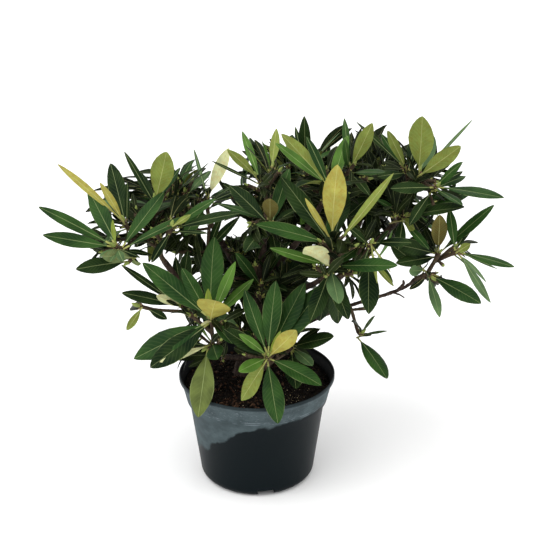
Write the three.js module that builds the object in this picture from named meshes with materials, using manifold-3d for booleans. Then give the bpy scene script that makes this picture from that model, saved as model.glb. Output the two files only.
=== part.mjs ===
// A potted rhododendron: a plastic nursery pot, its soil, the trunk, the boughs and the
// masses of foliage. Millimetres, +Z up, the origin at the middle of the pot's underside,
// the plant's front towards -Y.
import * as THREE from 'three';
import { mergeVertices } from 'three/addons/utils/BufferGeometryUtils.js';
import Module from 'manifold-3d';

const wasm = await Module();
wasm.setup();
const UP = new THREE.Vector3(0, 0, 1);

// ---- driving dimensions ------------------------------------------------------------

const CLEARANCE = 0.3; // between solids that sit against each other
const SMALLEST_EDGE = 0.3; // shorter ones, left by joining leaves to twigs, are closed up

const POT = {
  height: 165,
  rimRadius: 115,
  lipHeight: 6,
  lipTaper: 3, // the step under the lip, both ways
  collarRadius: 107,
  collarHeight: 137, // its lower edge above the underside
  shoulderRadius: 104.5,
  shoulderHeight: 126,
  neckRadius: 99.5,
  neckHeight: 117,
  footRadius: 85.5, // where the wall meets the rounded foot
  footRounding: 14,
  wall: 2,
  segments: 30,
};
const NOTCH = { count: 4, width: 26, depth: 54, height: 11, turn: 10 }; // drains in the foot
const SOIL = { height: 150, edgeDrop: 3, edgeWidth: 14 };

const TRUNK = {
  foot: [-20, 25, SOIL.height + CLEARANCE],
  rise: [-20, 25, 192], // straight over the foot, so that its cut is level
  tip: [-2, 12, 246],
  footRadius: 12,
  tipRadius: 8,
  flare: 5.5, // added to the radius at the soil
  sides: 12,
  steps: 7,
};

// Each bough: the limb it springs from and how far up that limb, the point that it bends
// towards, its tip, and its radius at either end.
const BOUGHS = {
  bough_top: { from: 'trunk', at: 0.97, bend: [6, 14, 320], tip: [14, 12, 405], radii: [7, 5] },
  bough_left: { from: 'trunk', at: 0.66, bend: [-72, 6, 262], tip: [-130, -22, 352], radii: [6.5, 4.5] },
  bough_upper_left: { from: 'bough_top', at: 0.2, bend: [-32, 34, 320],
    tip: [-62, 38, 378], radii: [5, 4] },
  bough_low_left: { from: 'trunk', at: 0.3, bend: [-34, 0, 186], tip: [-46, -34, 206], radii: [5.5, 4] },
  bough_low_centre: { from: 'trunk', at: 0.16, bend: [-8, -24, 170], tip: [14, -66, 206], radii: [5, 4] },
  bough_middle: { from: 'trunk', at: 0.82, bend: [2, -12, 240], tip: [8, -16, 266], radii: [4.5, 3.6] },
  bough_centre: { from: 'bough_top', at: 0.12, bend: [52, -4, 290],
    tip: [92, -62, 340], radii: [5.5, 4] },
  bough_top_right: { from: 'bough_top', at: 0.42, bend: [60, 20, 350], tip: [92, 8, 425], radii: [5, 4] },
  bough_right: { from: 'trunk', at: 0.72, bend: [110, 44, 270], tip: [196, 4, 398], radii: [6.5, 4.5] },
  bough_low_right: { from: 'trunk', at: 0.42, bend: [52, 16, 226],
    tip: [126, -20, 284], radii: [5.5, 4.5] },
  bough_far_right: { from: 'bough_low_right', at: 0.78, bend: [146, -14, 316],
    tip: [224, -27, 326], radii: [4.2, 3.4] },
  bough_back: { from: 'bough_top', at: 0.3, bend: [14, 60, 320], tip: [22, 96, 348], radii: [5, 4] },
  bough_back_left: { from: 'bough_left', at: 0.35, bend: [-70, 56, 310],
    tip: [-96, 80, 362], radii: [4.6, 3.8] },
  bough_back_right: { from: 'bough_right', at: 0.45, bend: [130, 60, 330],
    tip: [150, 84, 362], radii: [4.6, 3.8] },
  bough_back_low: { from: 'trunk', at: 0.5, bend: [-4, 52, 204], tip: [6, 82, 238], radii: [4.6, 3.8] },
};
const BOUGH = { sides: 6, steps: 5 };

const TWIG = {
  sides: 3,
  steps: 3,
  stemRadius: 4,
  joinRadius: 3.6,
  tipRadius: 3.1,
  setOff: 0.35, // how far it keeps its first heading, in its own span
  arrive: 0.4, // how long it has run along its shoot's axis at the hub
  joins: [0.2, 0.3, 0.4, 0.5, 0.6, 0.7], // where along a twig the next one may branch
  homing: 0.35, // how much a join near the stem's foot counts, against one near the hub
};
// The thick end that leaves stand on, which takes up a twig's length `from` there on.
const KNOB = { radius: 5.8, behind: 19, ahead: 12, shoulder: 3, sides: 5, from: 0.7 };

const LEAF = {
  length: 94,
  lengthSpread: 0.13,
  widthRatio: 0.3,
  thickness: 2.1,
  rootWidth: 3.6,
  rootSunk: 0.4, // past the twig's axis
  arch: 0.075, // of its length
  shortest: 0.78, // the innermost and outermost leaves, against the middle ones
  whorl: 15, // the stretch of twig that a shoot's leaves stand on
  skyward: 0.4, // how far their upper sides turn from the shoot's axis to the sky
  reach: 0.62, // from a leaf's middle to its furthest point, in its length
  keel: 0.4, // how much deeper it is at its root than at its tip
};
// Across a blade's rings from root to tip: place along it, and share of full width.
const LEAD_BLADE = [[0, 0], [0.34, 1], [0.72, 0.86], [1, 0]];
const PLAIN_BLADE = [[0, 0], [0.5, 1.14], [1, 0]];
const OPENING = { inner: 36, outer: 98, jitter: 8 }; // a leaf's angle to its shoot, degrees
const LEAD_ROOM = 27; // degrees round a leading leaf that the rest leave to it
const SHORTER = [1, 0.84, 0.68, 0.54]; // what a leaf is cut back to when it doesn't fit
const TURNED = [0, 16, -16]; // degrees that it may turn round its shoot for that
const SAMPLES = { // the points that are tested over a leaf's middle surface
  along: Array.from({ length: 13 }, (_, step) => 0.16 + 0.07 * step),
  side: [-1, -0.5, 0, 0.5, 1],
};
const LEAF_ROOM = { same: 4, other: 6 }; // between sample points of leaves, in and across masses
const WOOD_ROOM = 3.6; // between a leaf's middle surface and a limb's or a twig's bark
const POT_ROOM = 4; // between a leaf's middle surface and the pot or the soil
const SPACE_MARGIN = 1.3; // between a leaf and the border of its mass's space
const GOLDEN_ANGLE = Math.PI * (3 - Math.sqrt(5));
const SIDEWAYS = [0.31, -0.52, 0.79]; // any direction that no shoot grows in: spirals start from it
const BACK = { cap: 1.15, leaves: 9, room: 15 }; // shoots hidden behind: 1 - cos of how far they spread

const HEART = [20, 10, 340]; // the crown's middle, which the back's shoots grow away from

// A shoot ends in a whorl of leaves. `at` is its hub and `aim` its axis. `leads` are the
// leaves that give the whorl its outline, each a direction and a length, and `leaves`
// counts the spiral between them, which opens to `widest` degrees. A direction is
// [clock, towards]: degrees round from +X to +Z, and degrees turned to the front.
// `room` is what a shoot adds to its share of the space, as a distance.
const MASSES = {
  foliage_left: { bough: 'bough_left', shoots: [
    { at: [-192, -70, 393], aim: [125, 35], leaves: 10, widest: 80, room: 50, leads: [[145, 0, 114],
      [160, 25, 106], [175, 60, 92], [345, 80, 74], [5, 60, 76], [130, -40, 92], [45, -35, 106],
      [15, -15, 112]] },
    { at: [-184, -20, 411], aim: [105, 10], leaves: 10, room: 40, leads: [[135, 5, 120], [110, 30, 86],
      [105, -45, 94], [85, 0, 96]] },
    { at: [-142, 10, 431], aim: [95, 10], leaves: 11, room: 30, leads: [[75, 20, 84], [130, -50, 74]] },
    { at: [-124, 55, 426], aim: [80, -30], leaves: 11, room: 20, leads: [[60, -60, 80], [40, 15, 84]] },
    { at: [-115, -45, 413], aim: [80, 30], leaves: 10, room: 25, leads: [[55, 50, 80],
      [20, 20, 104], [15, 45, 76]] },
  ] },
  foliage_upper_left: { bough: 'bough_upper_left', shoots: [
    { at: [-69, 40, 424], aim: [80, 10], leaves: 12, room: 35, leads: [[70, 5, 80], [110, -45, 80],
      [355, 35, 90], [0, 60, 80], [10, -40, 66], [220, 50, 64]] },
    { at: [-82, 14, 342], aim: [140, 20], leaves: 11, room: 10, leads: [] },
  ] },
  foliage_low_left: { bough: 'bough_low_left', shoots: [
    { at: [-64, -75, 287], aim: [100, 45], leaves: 13, room: 50, leads: [[135, 0, 120], [115, 0, 86],
      [85, -20, 112], [65, -5, 92], [40, -15, 84], [85, 45, 78], [205, 15, 122], [215, 25, 106]] },
    { at: [-108, -30, 285], aim: [120, 45], leaves: 9, room: 35, leads: [[160, 5, 86], [195, 25, 84],
      [145, -10, 100], [130, 40, 70]] },
    { at: [-70, -60, 234], aim: [200, 50], leaves: 8, room: 20, leads: [[260, 25, 98], [180, 40, 80],
      [15, 68, 60]] },
  ] },
  foliage_low_centre: { bough: 'bough_low_centre', shoots: [
    { at: [17, -95, 239], aim: [85, 45], leaves: 14, room: 50, leads: [[110, -20, 100], [85, -15, 106],
      [60, -20, 116], [45, -15, 124], [140, 20, 84], [50, 35, 86], [345, 30, 90], [170, 55, 70],
      [225, 50, 80], [280, 40, 98]] },
    { at: [51, -50, 231], aim: [85, 40], leaves: 9, room: 20, leads: [[30, 30, 82], [0, 60, 62],
      [280, 60, 70]] },
    { at: [-26, -44, 258], aim: [115, 25], leaves: 10, room: 10, leads: [] },
  ] },
  foliage_middle: { bough: 'bough_middle', shoots: [
    { at: [8, -14, 312], aim: [95, 15], leaves: 11, room: 10, leads: [[120, 15, 76]] },
    { at: [-30, 34, 342], aim: [120, 10], leaves: 12, room: 10, leads: [] },
  ] },
  foliage_centre: { bough: 'bough_centre', shoots: [
    { at: [107, -90, 373], aim: [60, 35], leaves: 10, room: 45, leads: [[10, 30, 92], [160, 15, 100],
      [135, 20, 92], [290, 60, 76], [242, 50, 98], [262, 58, 98]] },
    { at: [104, -80, 408], aim: [95, -25], leaves: 11, room: 45, leads: [[90, 3, 110], [120, 10, 80],
      [160, 10, 112], [130, -25, 120], [50, 0, 120]] },
    { at: [158, -52, 374], aim: [60, 30], leaves: 11, room: 25, leads: [[262, 50, 100],
      [350, 60, 62], [65, 35, 80]] },
  ] },
  foliage_top: { bough: 'bough_top', shoots: [
    { at: [20, -50, 421], aim: [95, 25], leaves: 11, room: 25, leads: [[90, 42, 72], [140, -30, 84],
      [70, -35, 90]] },
    { at: [3, 0, 467], aim: [120, 0], leaves: 10, room: 25, leads: [[125, 25, 70], [110, -45, 80],
      [160, 10, 74]] },
    { at: [23, 35, 470], aim: [80, -30], leaves: 10, room: 15, leads: [[85, -50, 74], [125, 40, 70]] },
  ] },
  foliage_top_right: { bough: 'bough_top_right', shoots: [
    { at: [100, -30, 468], aim: [110, 5], leaves: 11, room: 25, leads: [[140, 10, 100], [140, -35, 96],
      [70, -45, 82]] },
    { at: [70, 50, 468], aim: [90, -10], leaves: 10, room: 20, leads: [[115, -50, 74], [88, 10, 82],
      [65, 35, 66]] },
    { at: [131, 0, 482], aim: [85, 40], leaves: 12, room: 25, leads: [[95, -50, 80], [65, 15, 84],
      [100, 35, 74], [20, 45, 70]] },
  ] },
  foliage_right: { bough: 'bough_right', shoots: [
    { at: [209, 20, 476], aim: [115, 25], leaves: 8, room: 25, leads: [[135, 15, 98], [115, 20, 74],
      [165, 45, 70]] },
    { at: [249, -30, 466], aim: [60, 35], leaves: 7, widest: 80, room: 45, leads: [[5, 40, 106],
      [172, 25, 82], [350, 60, 72], [0, -45, 62], [65, 28, 74]] },
    { at: [227, 0, 476], aim: [70, -20], leaves: 8, room: 30, leads: [[90, 18, 90], [50, -50, 72],
      [35, -25, 112]] },
    { at: [209, -10, 415], aim: [60, 30], leaves: 8, room: 25, leads: [[25, 35, 102], [260, 60, 62],
      [315, 55, 68], [165, 30, 70]] },
  ] },
  foliage_low_right: { bough: 'bough_far_right', shoots: [
    { at: [284, -40, 373], aim: [40, 38], leaves: 8, widest: 80, room: 40, leads: [[358, 40, 90],
      [300, 5, 92], [312, -20, 76], [100, -45, 70], [40, -40, 88], [45, -50, 62]] },
    { at: [256, -10, 361], aim: [110, 30], leaves: 6, room: 25, leads: [[90, 15, 60], [170, 35, 66],
      [190, 50, 66]] },
    { at: [247, -30, 331], aim: [320, 20], leaves: 2, room: 25, leads: [[345, 35, 86], [290, 50, 70],
      [155, 40, 52]] },
  ] },
  foliage_hanging: { bough: 'bough_low_right', shoots: [
    { at: [150, -50, 252], aim: [60, 30], leaves: 0, room: 20, leads: [[70, 35, 50], [30, 40, 50],
      [318, 55, 92]] },
  ] },
  foliage_back_left: { bough: 'bough_back_left', shoots: spread([-100, 88, 398], [44, 28, 30], 3, 61) },
  foliage_back: { bough: 'bough_back', shoots: spread([26, 116, 382], [56, 34, 44], 5, 62) },
  foliage_back_right: { bough: 'bough_back_right', shoots: spread([166, 88, 404], [54, 28, 40], 4, 63) },
  foliage_back_low: { bough: 'bough_back_low', shoots: spread([4, 104, 276], [46, 24, 24], 3, 64) },
};

const COLOURS = {
  pot: 0x1b2328,
  soil: 0x1c1611,
  bark: 0x5d4536,
  leaf: 0x2f5a2c,
};

// ---- numbers and directions --------------------------------------------------------

// A generator of even random numbers from 0 to 1, the same for the same seed.
function seeded(seed) {
  let state = seed;
  return () => {
    state = (state + 0x6D2B79F5) | 0;
    let mixed = Math.imul(state ^ (state >>> 15), 1 | state);
    mixed = (mixed + Math.imul(mixed ^ (mixed >>> 7), 61 | mixed)) ^ mixed;
    return ((mixed ^ (mixed >>> 14)) >>> 0) / 4294967296;
  };
}

function vector(coordinates) {
  return new THREE.Vector3(...coordinates);
}

function direction(clock, towards) {
  const around = THREE.MathUtils.degToRad(clock);
  const front = THREE.MathUtils.degToRad(towards);
  return new THREE.Vector3(
    Math.cos(around) * Math.cos(front),
    -Math.sin(front),
    Math.sin(around) * Math.cos(front),
  );
}

// The part of `vector` that stands square to the unit vector `axis`, at length 1.
function squareTo(axis, vector) {
  return vector.clone().addScaledVector(axis, -vector.dot(axis)).normalize();
}

// Hidden shoots, spread over the outer face of an ellipsoid in a golden spiral.
function spread(centre, radii, count, seed) {
  const random = seeded(seed);
  const outwards = vector(centre).sub(vector(HEART)).normalize();
  const side = squareTo(outwards, UP);
  const across = outwards.clone().cross(side);
  return Array.from({ length: count }, (_, index) => {
    const opening = Math.acos(1 - BACK.cap * (index + 0.5) / count);
    const turn = GOLDEN_ANGLE * index + random();
    const heading = outwards.clone().multiplyScalar(Math.cos(opening))
      .addScaledVector(side, Math.sin(opening) * Math.cos(turn))
      .addScaledVector(across, Math.sin(opening) * Math.sin(turn));
    const at = [0, 1, 2].map((axis) => centre[axis] + radii[axis] * heading.getComponent(axis));
    return { at, heading, leaves: BACK.leaves, room: BACK.room, leads: [] };
  });
}

// ---- solids ------------------------------------------------------------------------

function toSolid(geometry) {
  const bare = geometry.clone();
  bare.deleteAttribute('normal');
  bare.deleteAttribute('uv');
  const merged = mergeVertices(bare, 1e-5);
  const corners = merged.index.array;
  const faces = [];
  for (let first = 0; first < corners.length; first += 3) {
    const [a, b, c] = corners.slice(first, first + 3);
    if (a !== b && b !== c && c !== a) faces.push(a, b, c);
  }
  return new wasm.Manifold(new wasm.Mesh({
    numProp: 3,
    vertProperties: new Float32Array(merged.attributes.position.array),
    triVerts: new Uint32Array(faces),
  }));
}

function toGeometry(solid) {
  const mesh = solid.getMesh();
  const geometry = new THREE.BufferGeometry();
  geometry.setAttribute('position', new THREE.BufferAttribute(mesh.vertProperties, 3));
  geometry.setIndex(new THREE.BufferAttribute(mesh.triVerts, 1));
  geometry.computeVertexNormals();
  return geometry;
}

// The largest piece of a solid, without loose scraps and with sealed hollows filled.
function largestPiece(solid) {
  const pieces = solid.decompose();
  return pieces.reduce((largest, piece) => (piece.volume() > largest.volume() ? piece : largest));
}

// Turns a unit cylinder or cone along Y into a limb along a curve.
function bendAlong(unit, curve, steps, radiusAt, longer = 0) {
  const frames = curve.computeFrenetFrames(steps);
  const place = unit.attributes.position;
  const point = new THREE.Vector3();
  for (let index = 0; index < place.count; index += 1) {
    const share = place.getY(index) + 0.5;
    const ring = Math.round(share * steps);
    const radius = radiusAt(ring / steps);
    curve.getPoint(ring / steps, point);
    point.addScaledVector(frames.binormals[ring], place.getX(index) * radius);
    point.addScaledVector(frames.normals[ring], place.getZ(index) * radius);
    if (ring === steps) point.addScaledVector(frames.tangents[ring], longer);
    place.setXYZ(index, point.x, point.y, point.z);
  }
  return toSolid(unit);
}

function limbSolid(limb, sides, steps, grown = 0) {
  const unit = new THREE.CylinderGeometry(1, 1, 1, sides, steps);
  return bendAlong(unit, limb.curve, steps, (share) => limb.radiusAt(share) + grown, grown);
}

// ---- pot and soil ------------------------------------------------------------------

function footArc(radius, steps) {
  const centre = POT.footRadius - POT.footRounding;
  return Array.from({ length: steps + 1 }, (_, step) => {
    const angle = (Math.PI / 2) * (step / steps);
    return [centre + radius * Math.sin(angle), POT.footRounding - radius * Math.cos(angle)];
  });
}

// The pot's wall above its foot, from bottom to top, moved in by `inset`.
function wallLine(inset) {
  return [
    [POT.neckRadius - inset, POT.neckHeight],
    [POT.shoulderRadius - inset, POT.shoulderHeight],
    [POT.collarRadius - inset, POT.collarHeight],
    [POT.rimRadius - POT.lipTaper - inset, POT.height - POT.lipHeight - POT.lipTaper],
  ];
}

function lathe(profile, segments = POT.segments) {
  const points = profile.map(([radius, height]) => new THREE.Vector2(radius, height));
  const turned = new THREE.LatheGeometry(points, segments).rotateX(Math.PI / 2);
  return toSolid(turned);
}

// The drain notches round the foot, all of them larger by `grown`.
function notchSolids(grown) {
  return wasm.Manifold.union(Array.from({ length: NOTCH.count }, (_, index) => {
    const box = new THREE.BoxGeometry(NOTCH.width + 2 * grown, NOTCH.depth + 2 * grown,
      2 * (NOTCH.height + grown));
    box.translate(0, -POT.footRadius, 0);
    const turn = THREE.MathUtils.degToRad(NOTCH.turn) + index * 2 * Math.PI / NOTCH.count;
    return toSolid(box.rotateZ(turn));
  }));
}

function potSolid() {
  const outside = lathe([[0, 0], ...footArc(POT.footRounding, 4), ...wallLine(0),
    [POT.rimRadius, POT.height - POT.lipHeight], [POT.rimRadius, POT.height], [0, POT.height]]);
  const inside = lathe([[0, POT.wall], ...footArc(POT.footRounding - POT.wall, 3), ...wallLine(POT.wall),
    [POT.rimRadius - POT.wall, POT.height + 1], [0, POT.height + 1]]);
  return outside.subtract(notchSolids(0)).subtract(inside.subtract(notchSolids(POT.wall)));
}

function soilSolid() {
  const inset = POT.wall + CLEARANCE;
  const wall = wallLine(inset);
  const [collar, underLip] = wall.slice(-2);
  const edgeHeight = SOIL.height - SOIL.edgeDrop;
  const edge = THREE.MathUtils.mapLinear(edgeHeight, collar[1], underLip[1], collar[0], underLip[0]);
  const foot = footArc(POT.footRounding - inset, 3);
  const filling = lathe([[0, foot[0][1]], ...foot, ...wall.slice(0, -1),
    [edge, edgeHeight], [edge - SOIL.edgeWidth, SOIL.height], [0, SOIL.height]]);
  return filling.subtract(notchSolids(inset));
}

// ---- trunk and boughs --------------------------------------------------------------

function trunkLimb() {
  const [foot, rise, tip] = [TRUNK.foot, TRUNK.rise, TRUNK.tip].map(vector);
  const curve = new THREE.QuadraticBezierCurve3(foot, rise, tip);
  const radiusAt = (share) => THREE.MathUtils.lerp(TRUNK.footRadius, TRUNK.tipRadius, share)
    + TRUNK.flare * (1 - share) ** 6;
  return { curve, radiusAt };
}

// A bough starts on its parent's axis, inside it, and is cut clear of it later.
function boughLimb(bough, parent) {
  const start = parent.curve.getPoint(bough.at);
  const curve = new THREE.QuadraticBezierCurve3(start, vector(bough.bend), vector(bough.tip));
  const [thick, thin] = bough.radii;
  return { curve, radiusAt: (share) => THREE.MathUtils.lerp(thick, thin, share) };
}

const limbs = { trunk: trunkLimb() };
for (const [name, bough] of Object.entries(BOUGHS)) {
  limbs[name] = boughLimb(bough, limbs[bough.from]);
}

// ---- the space of each mass --------------------------------------------------------

const shoots = Object.entries(MASSES).flatMap(([mass, { shoots: own }]) => own.map((shoot) => ({
  ...shoot,
  mass,
  hub: vector(shoot.at),
  axis: shoot.heading ?? direction(...shoot.aim),
})));

// A point is in a mass's space when the nearest shoot, by distance and room, is one of its
// own; this gives how far inside the border it lies.
function depthInSpace(point, mass) {
  let nearest = null;
  let least = Infinity;
  for (const shoot of shoots) {
    if (shoot.mass !== mass) continue;
    const measure = point.distanceToSquared(shoot.hub) - shoot.room ** 2;
    if (measure < least) {
      least = measure;
      nearest = shoot;
    }
  }
  let depth = Infinity;
  for (const shoot of shoots) {
    if (shoot.mass === mass) continue;
    const measure = point.distanceToSquared(shoot.hub) - shoot.room ** 2;
    depth = Math.min(depth, (measure - least) / (2 * shoot.hub.distanceTo(nearest.hub)));
  }
  return depth;
}

// Whether a point is clear of the pot's wall and of the soil.
function clearOfPot(point) {
  if (point.z > POT.height + POT_ROOM) return true;
  const radius = Math.hypot(point.x, point.y);
  const isAbove = point.z > SOIL.height + POT_ROOM;
  return radius > POT.rimRadius + POT_ROOM || (isAbove && radius < POT.collarRadius - POT_ROOM);
}

// ---- the ways of the twigs ---------------------------------------------------------

// The place on the twigs grown so far that a new shoot's twig springs from.
function joinPlace(twigs, hub) {
  let best = null;
  let least = Infinity;
  for (const twig of twigs) {
    for (const share of TWIG.joins) {
      const point = twig.getPoint(share);
      const measure = point.distanceTo(hub) + TWIG.homing * point.distanceTo(twigs[0].v0);
      if (measure < least) {
        least = measure;
        best = point;
      }
    }
  }
  return best;
}

// The curve of each shoot's twig: the nearest shoot's is the mass's stem, which carries on
// from the bough's tip, and the others branch from what has grown before them.
function growTwigs(own, bough) {
  const heading = bough.curve.getTangent(1);
  const foot = bough.curve.getPoint(1).addScaledVector(heading, CLEARANCE);
  const nearestFirst = [...own].sort((a, b) => a.hub.distanceTo(foot) - b.hub.distanceTo(foot));
  const twigs = [];
  for (const shoot of nearestFirst) {
    const start = twigs.length ? joinPlace(twigs, shoot.hub) : foot;
    const span = start.distanceTo(shoot.hub);
    const setOff = twigs.length ? shoot.hub.clone().sub(start).normalize() : heading;
    twigs.push(new THREE.CubicBezierCurve3(
      start,
      start.clone().addScaledVector(setOff, TWIG.setOff * span),
      shoot.hub.clone().addScaledVector(shoot.axis, -TWIG.arrive * span),
      shoot.hub,
    ));
  }
  return twigs;
}

const twigs = Object.fromEntries(Object.entries(MASSES).map(([mass, { bough }]) => (
  [mass, growTwigs(shoots.filter((shoot) => shoot.mass === mass), limbs[bough])])));

// Points along the wood, with the radius there and the mass that a twig belongs to.
function woodPoints(curve, radiusAt, mass) {
  const stations = Math.ceil(curve.getLength() / 5);
  return Array.from({ length: stations + 1 }, (_, index) => ({
    point: curve.getPoint(index / stations),
    radius: radiusAt(index / stations),
    mass,
  }));
}
const twigRadius = (share) => (share > KNOB.from ? KNOB.radius : TWIG.joinRadius);
const wood = [
  ...Object.values(limbs).flatMap((limb) => woodPoints(limb.curve, limb.radiusAt, null)),
  ...Object.entries(twigs).flatMap(([mass, curves]) => (
    curves.flatMap((curve) => woodPoints(curve, twigRadius, mass)))),
];

// ---- leaves ------------------------------------------------------------------------

function bladePoint(leaf, along, side, below) {
  const raise = leaf.length * LEAF.arch * 4 * along * (1 - along);
  return leaf.root.clone()
    .addScaledVector(leaf.heading, leaf.length * along)
    .addScaledVector(leaf.face, raise - below)
    .addScaledVector(leaf.across, side);
}

// Points over a leaf's middle surface, from past its stalk to its tip.
function leafSamples(leaf) {
  const points = [];
  for (const along of SAMPLES.along) {
    const half = leaf.length * LEAF.widthRatio * 0.5 * Math.sin(Math.PI * Math.min(along, 0.95));
    for (const side of SAMPLES.side) points.push(bladePoint(leaf, along, side * half, 0));
  }
  return points;
}

function makeLeaf(shoot, heading, length, order, isLead = false) {
  const face = squareTo(heading, shoot.axis.clone().addScaledVector(UP, LEAF.skyward));
  const stand = shoot.hub.clone().addScaledVector(shoot.axis, -LEAF.whorl * order);
  const root = stand.addScaledVector(heading, -LEAF.rootSunk);
  return { root, heading, face, across: face.clone().cross(heading), length, isLead, mass: shoot.mass };
}

// A shoot's leading leaves, each as a list of the forms to try, best first.
function leadingLeaves(shoot) {
  return shoot.leads.map(([clock, towards, length], index) => {
    const order = (index + 0.5) / shoot.leads.length;
    return SHORTER.map((share) => (
      makeLeaf(shoot, direction(clock, towards), length * share, order, true)));
  });
}

// The rest of its whorl in a spiral, which leaves the leads their room.
function spiralLeaves(shoot, seed) {
  const random = seeded(seed);
  const side = squareTo(shoot.axis, vector(SIDEWAYS));
  const across = shoot.axis.clone().cross(side);
  const leads = shoot.leads.map(([clock, towards]) => direction(clock, towards));
  const start = random() * 2 * Math.PI;
  const leaves = [];
  for (let index = 0; index < shoot.leaves; index += 1) {
    const order = (index + 0.5) / shoot.leaves;
    const widest = shoot.widest ?? OPENING.outer;
    const opening = THREE.MathUtils.degToRad(THREE.MathUtils.lerp(OPENING.inner, widest, order)
      + OPENING.jitter * (2 * random() - 1));
    const length = LEAF.length * (1 + LEAF.lengthSpread * (2 * random() - 1))
      * (LEAF.shortest + (1 - LEAF.shortest) * Math.sin(Math.PI * order));
    const forms = SHORTER.flatMap((share) => TURNED.map((turn) => {
      const around = start + GOLDEN_ANGLE * index + THREE.MathUtils.degToRad(turn);
      const heading = shoot.axis.clone().multiplyScalar(Math.cos(opening))
        .addScaledVector(side, Math.sin(opening) * Math.cos(around))
        .addScaledVector(across, Math.sin(opening) * Math.sin(around));
      return makeLeaf(shoot, heading, length * share, order);
    }));
    const crowded = leads.some((lead) => (
      lead.angleTo(forms[0].heading) < THREE.MathUtils.degToRad(LEAD_ROOM)));
    if (!crowded) leaves.push(forms);
  }
  return leaves;
}

// Whether a leaf is clear of the pot, the wood and the leaves that have grown before it.
// The leading leaves may reach out of their mass's space, and the rest keep to it.
function fits(leaf, samples) {
  const centre = samples[Math.floor(samples.length / 2)];
  const reach = LEAF.reach * leaf.length;
  if (!samples.every(clearOfPot)) return false;
  const isOutside = (point) => depthInSpace(point, leaf.mass) < SPACE_MARGIN;
  if (!leaf.isLead && samples.some(isOutside)) return false;
  const nearWood = wood.filter((spot) => spot.mass !== leaf.mass
    && spot.point.distanceTo(centre) < reach + spot.radius + WOOD_ROOM);
  if (nearWood.some((spot) => samples.some((point) => (
    point.distanceTo(spot.point) < spot.radius + WOOD_ROOM)))) return false;
  return grown.every((other) => {
    if (other.centre.distanceTo(centre) > other.reach + reach + LEAF_ROOM.other) return true;
    if (leaf.isLead && other.mass === leaf.mass) return true;
    const room = other.mass === leaf.mass ? LEAF_ROOM.same : LEAF_ROOM.other;
    return samples.every((point) => (
      other.samples.every((taken) => point.distanceToSquared(taken) > room ** 2)));
  });
}

// Grows the first form of each leaf that has room.
const grown = [];
function grow(wanted) {
  for (const forms of wanted) {
    for (const leaf of forms) {
      const samples = leafSamples(leaf);
      if (!fits(leaf, samples)) continue;
      const centre = samples[Math.floor(samples.length / 2)];
      grown.push({ ...leaf, samples, centre, reach: LEAF.reach * leaf.length });
      break;
    }
  }
}
grow(shoots.flatMap(leadingLeaves));
grow(shoots.flatMap((shoot, index) => spiralLeaves(shoot, 1 + index)));

// A leaf as a thin blade on a unit cone of three sides: two edges and a keel below.
function leafSolid(leaf) {
  const blade = leaf.isLead ? LEAD_BLADE : PLAIN_BLADE;
  const steps = blade.length - 1;
  const unit = new THREE.ConeGeometry(1, 1, 3, steps);
  const place = unit.attributes.position;
  for (let index = 0; index < place.count; index += 1) {
    const ring = Math.round((place.getY(index) + 0.5) * steps);
    const radius = Math.max(1 - ring / steps, 1e-6);
    const [along, share] = blade[ring];
    const side = place.getX(index) / (radius * Math.sin(Math.PI / 3));
    const keel = (place.getZ(index) / radius + 0.5) / 1.5;
    const narrow = ring === steps ? 0 : LEAF.rootWidth;
    const half = Math.max(leaf.length * LEAF.widthRatio * share, narrow) / 2;
    const depth = LEAF.thickness * (ring === steps ? 0 : 1 + LEAF.keel * (1 - along));
    const point = bladePoint(leaf, along, side * half, keel * depth);
    place.setXYZ(index, point.x, point.y, point.z);
  }
  return toSolid(unit);
}

// ---- masses ------------------------------------------------------------------------

// A twig is a limb of three sides, which ends in a knob with a pointed bud at its hub.
function twigSolid(curve, isStem) {
  const thick = isStem ? TWIG.stemRadius : TWIG.joinRadius;
  const limb = { curve, radiusAt: (share) => THREE.MathUtils.lerp(thick, TWIG.tipRadius, share) };
  const outline = [[0, -KNOB.behind], [KNOB.radius, KNOB.shoulder - KNOB.behind], [KNOB.radius, 1],
    [0, KNOB.ahead]];
  const turn = new THREE.Quaternion().setFromUnitVectors(new THREE.Vector3(0, 0, 1), curve.getTangent(1));
  const place = new THREE.Matrix4().makeRotationFromQuaternion(turn).setPosition(curve.v3);
  const knob = lathe(outline, KNOB.sides).transform(place.elements);
  return limbSolid(limb, TWIG.sides, TWIG.steps).add(knob);
}

function massSolid(mass) {
  const wooden = twigs[mass].map((curve, index) => twigSolid(curve, index === 0));
  const leaves = grown.filter((leaf) => leaf.mass === mass).map(leafSolid);
  return largestPiece(wasm.Manifold.union([...wooden, ...leaves]).simplify(SMALLEST_EDGE));
}

// ---- the plant ---------------------------------------------------------------------

const FINISHES = {
  pot: new THREE.MeshStandardMaterial({ color: COLOURS.pot, roughness: 0.55, metalness: 0 }),
  soil: new THREE.MeshStandardMaterial({ color: COLOURS.soil, roughness: 1, metalness: 0 }),
  bark: new THREE.MeshStandardMaterial({ color: COLOURS.bark, roughness: 0.9, metalness: 0 }),
  leaf: new THREE.MeshStandardMaterial({ color: COLOURS.leaf, roughness: 0.5, metalness: 0 }),
};

function addNode(group, name, solid, finish) {
  const mesh = new THREE.Mesh(toGeometry(solid), FINISHES[finish].clone());
  mesh.name = name;
  group.add(mesh);
}

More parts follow.
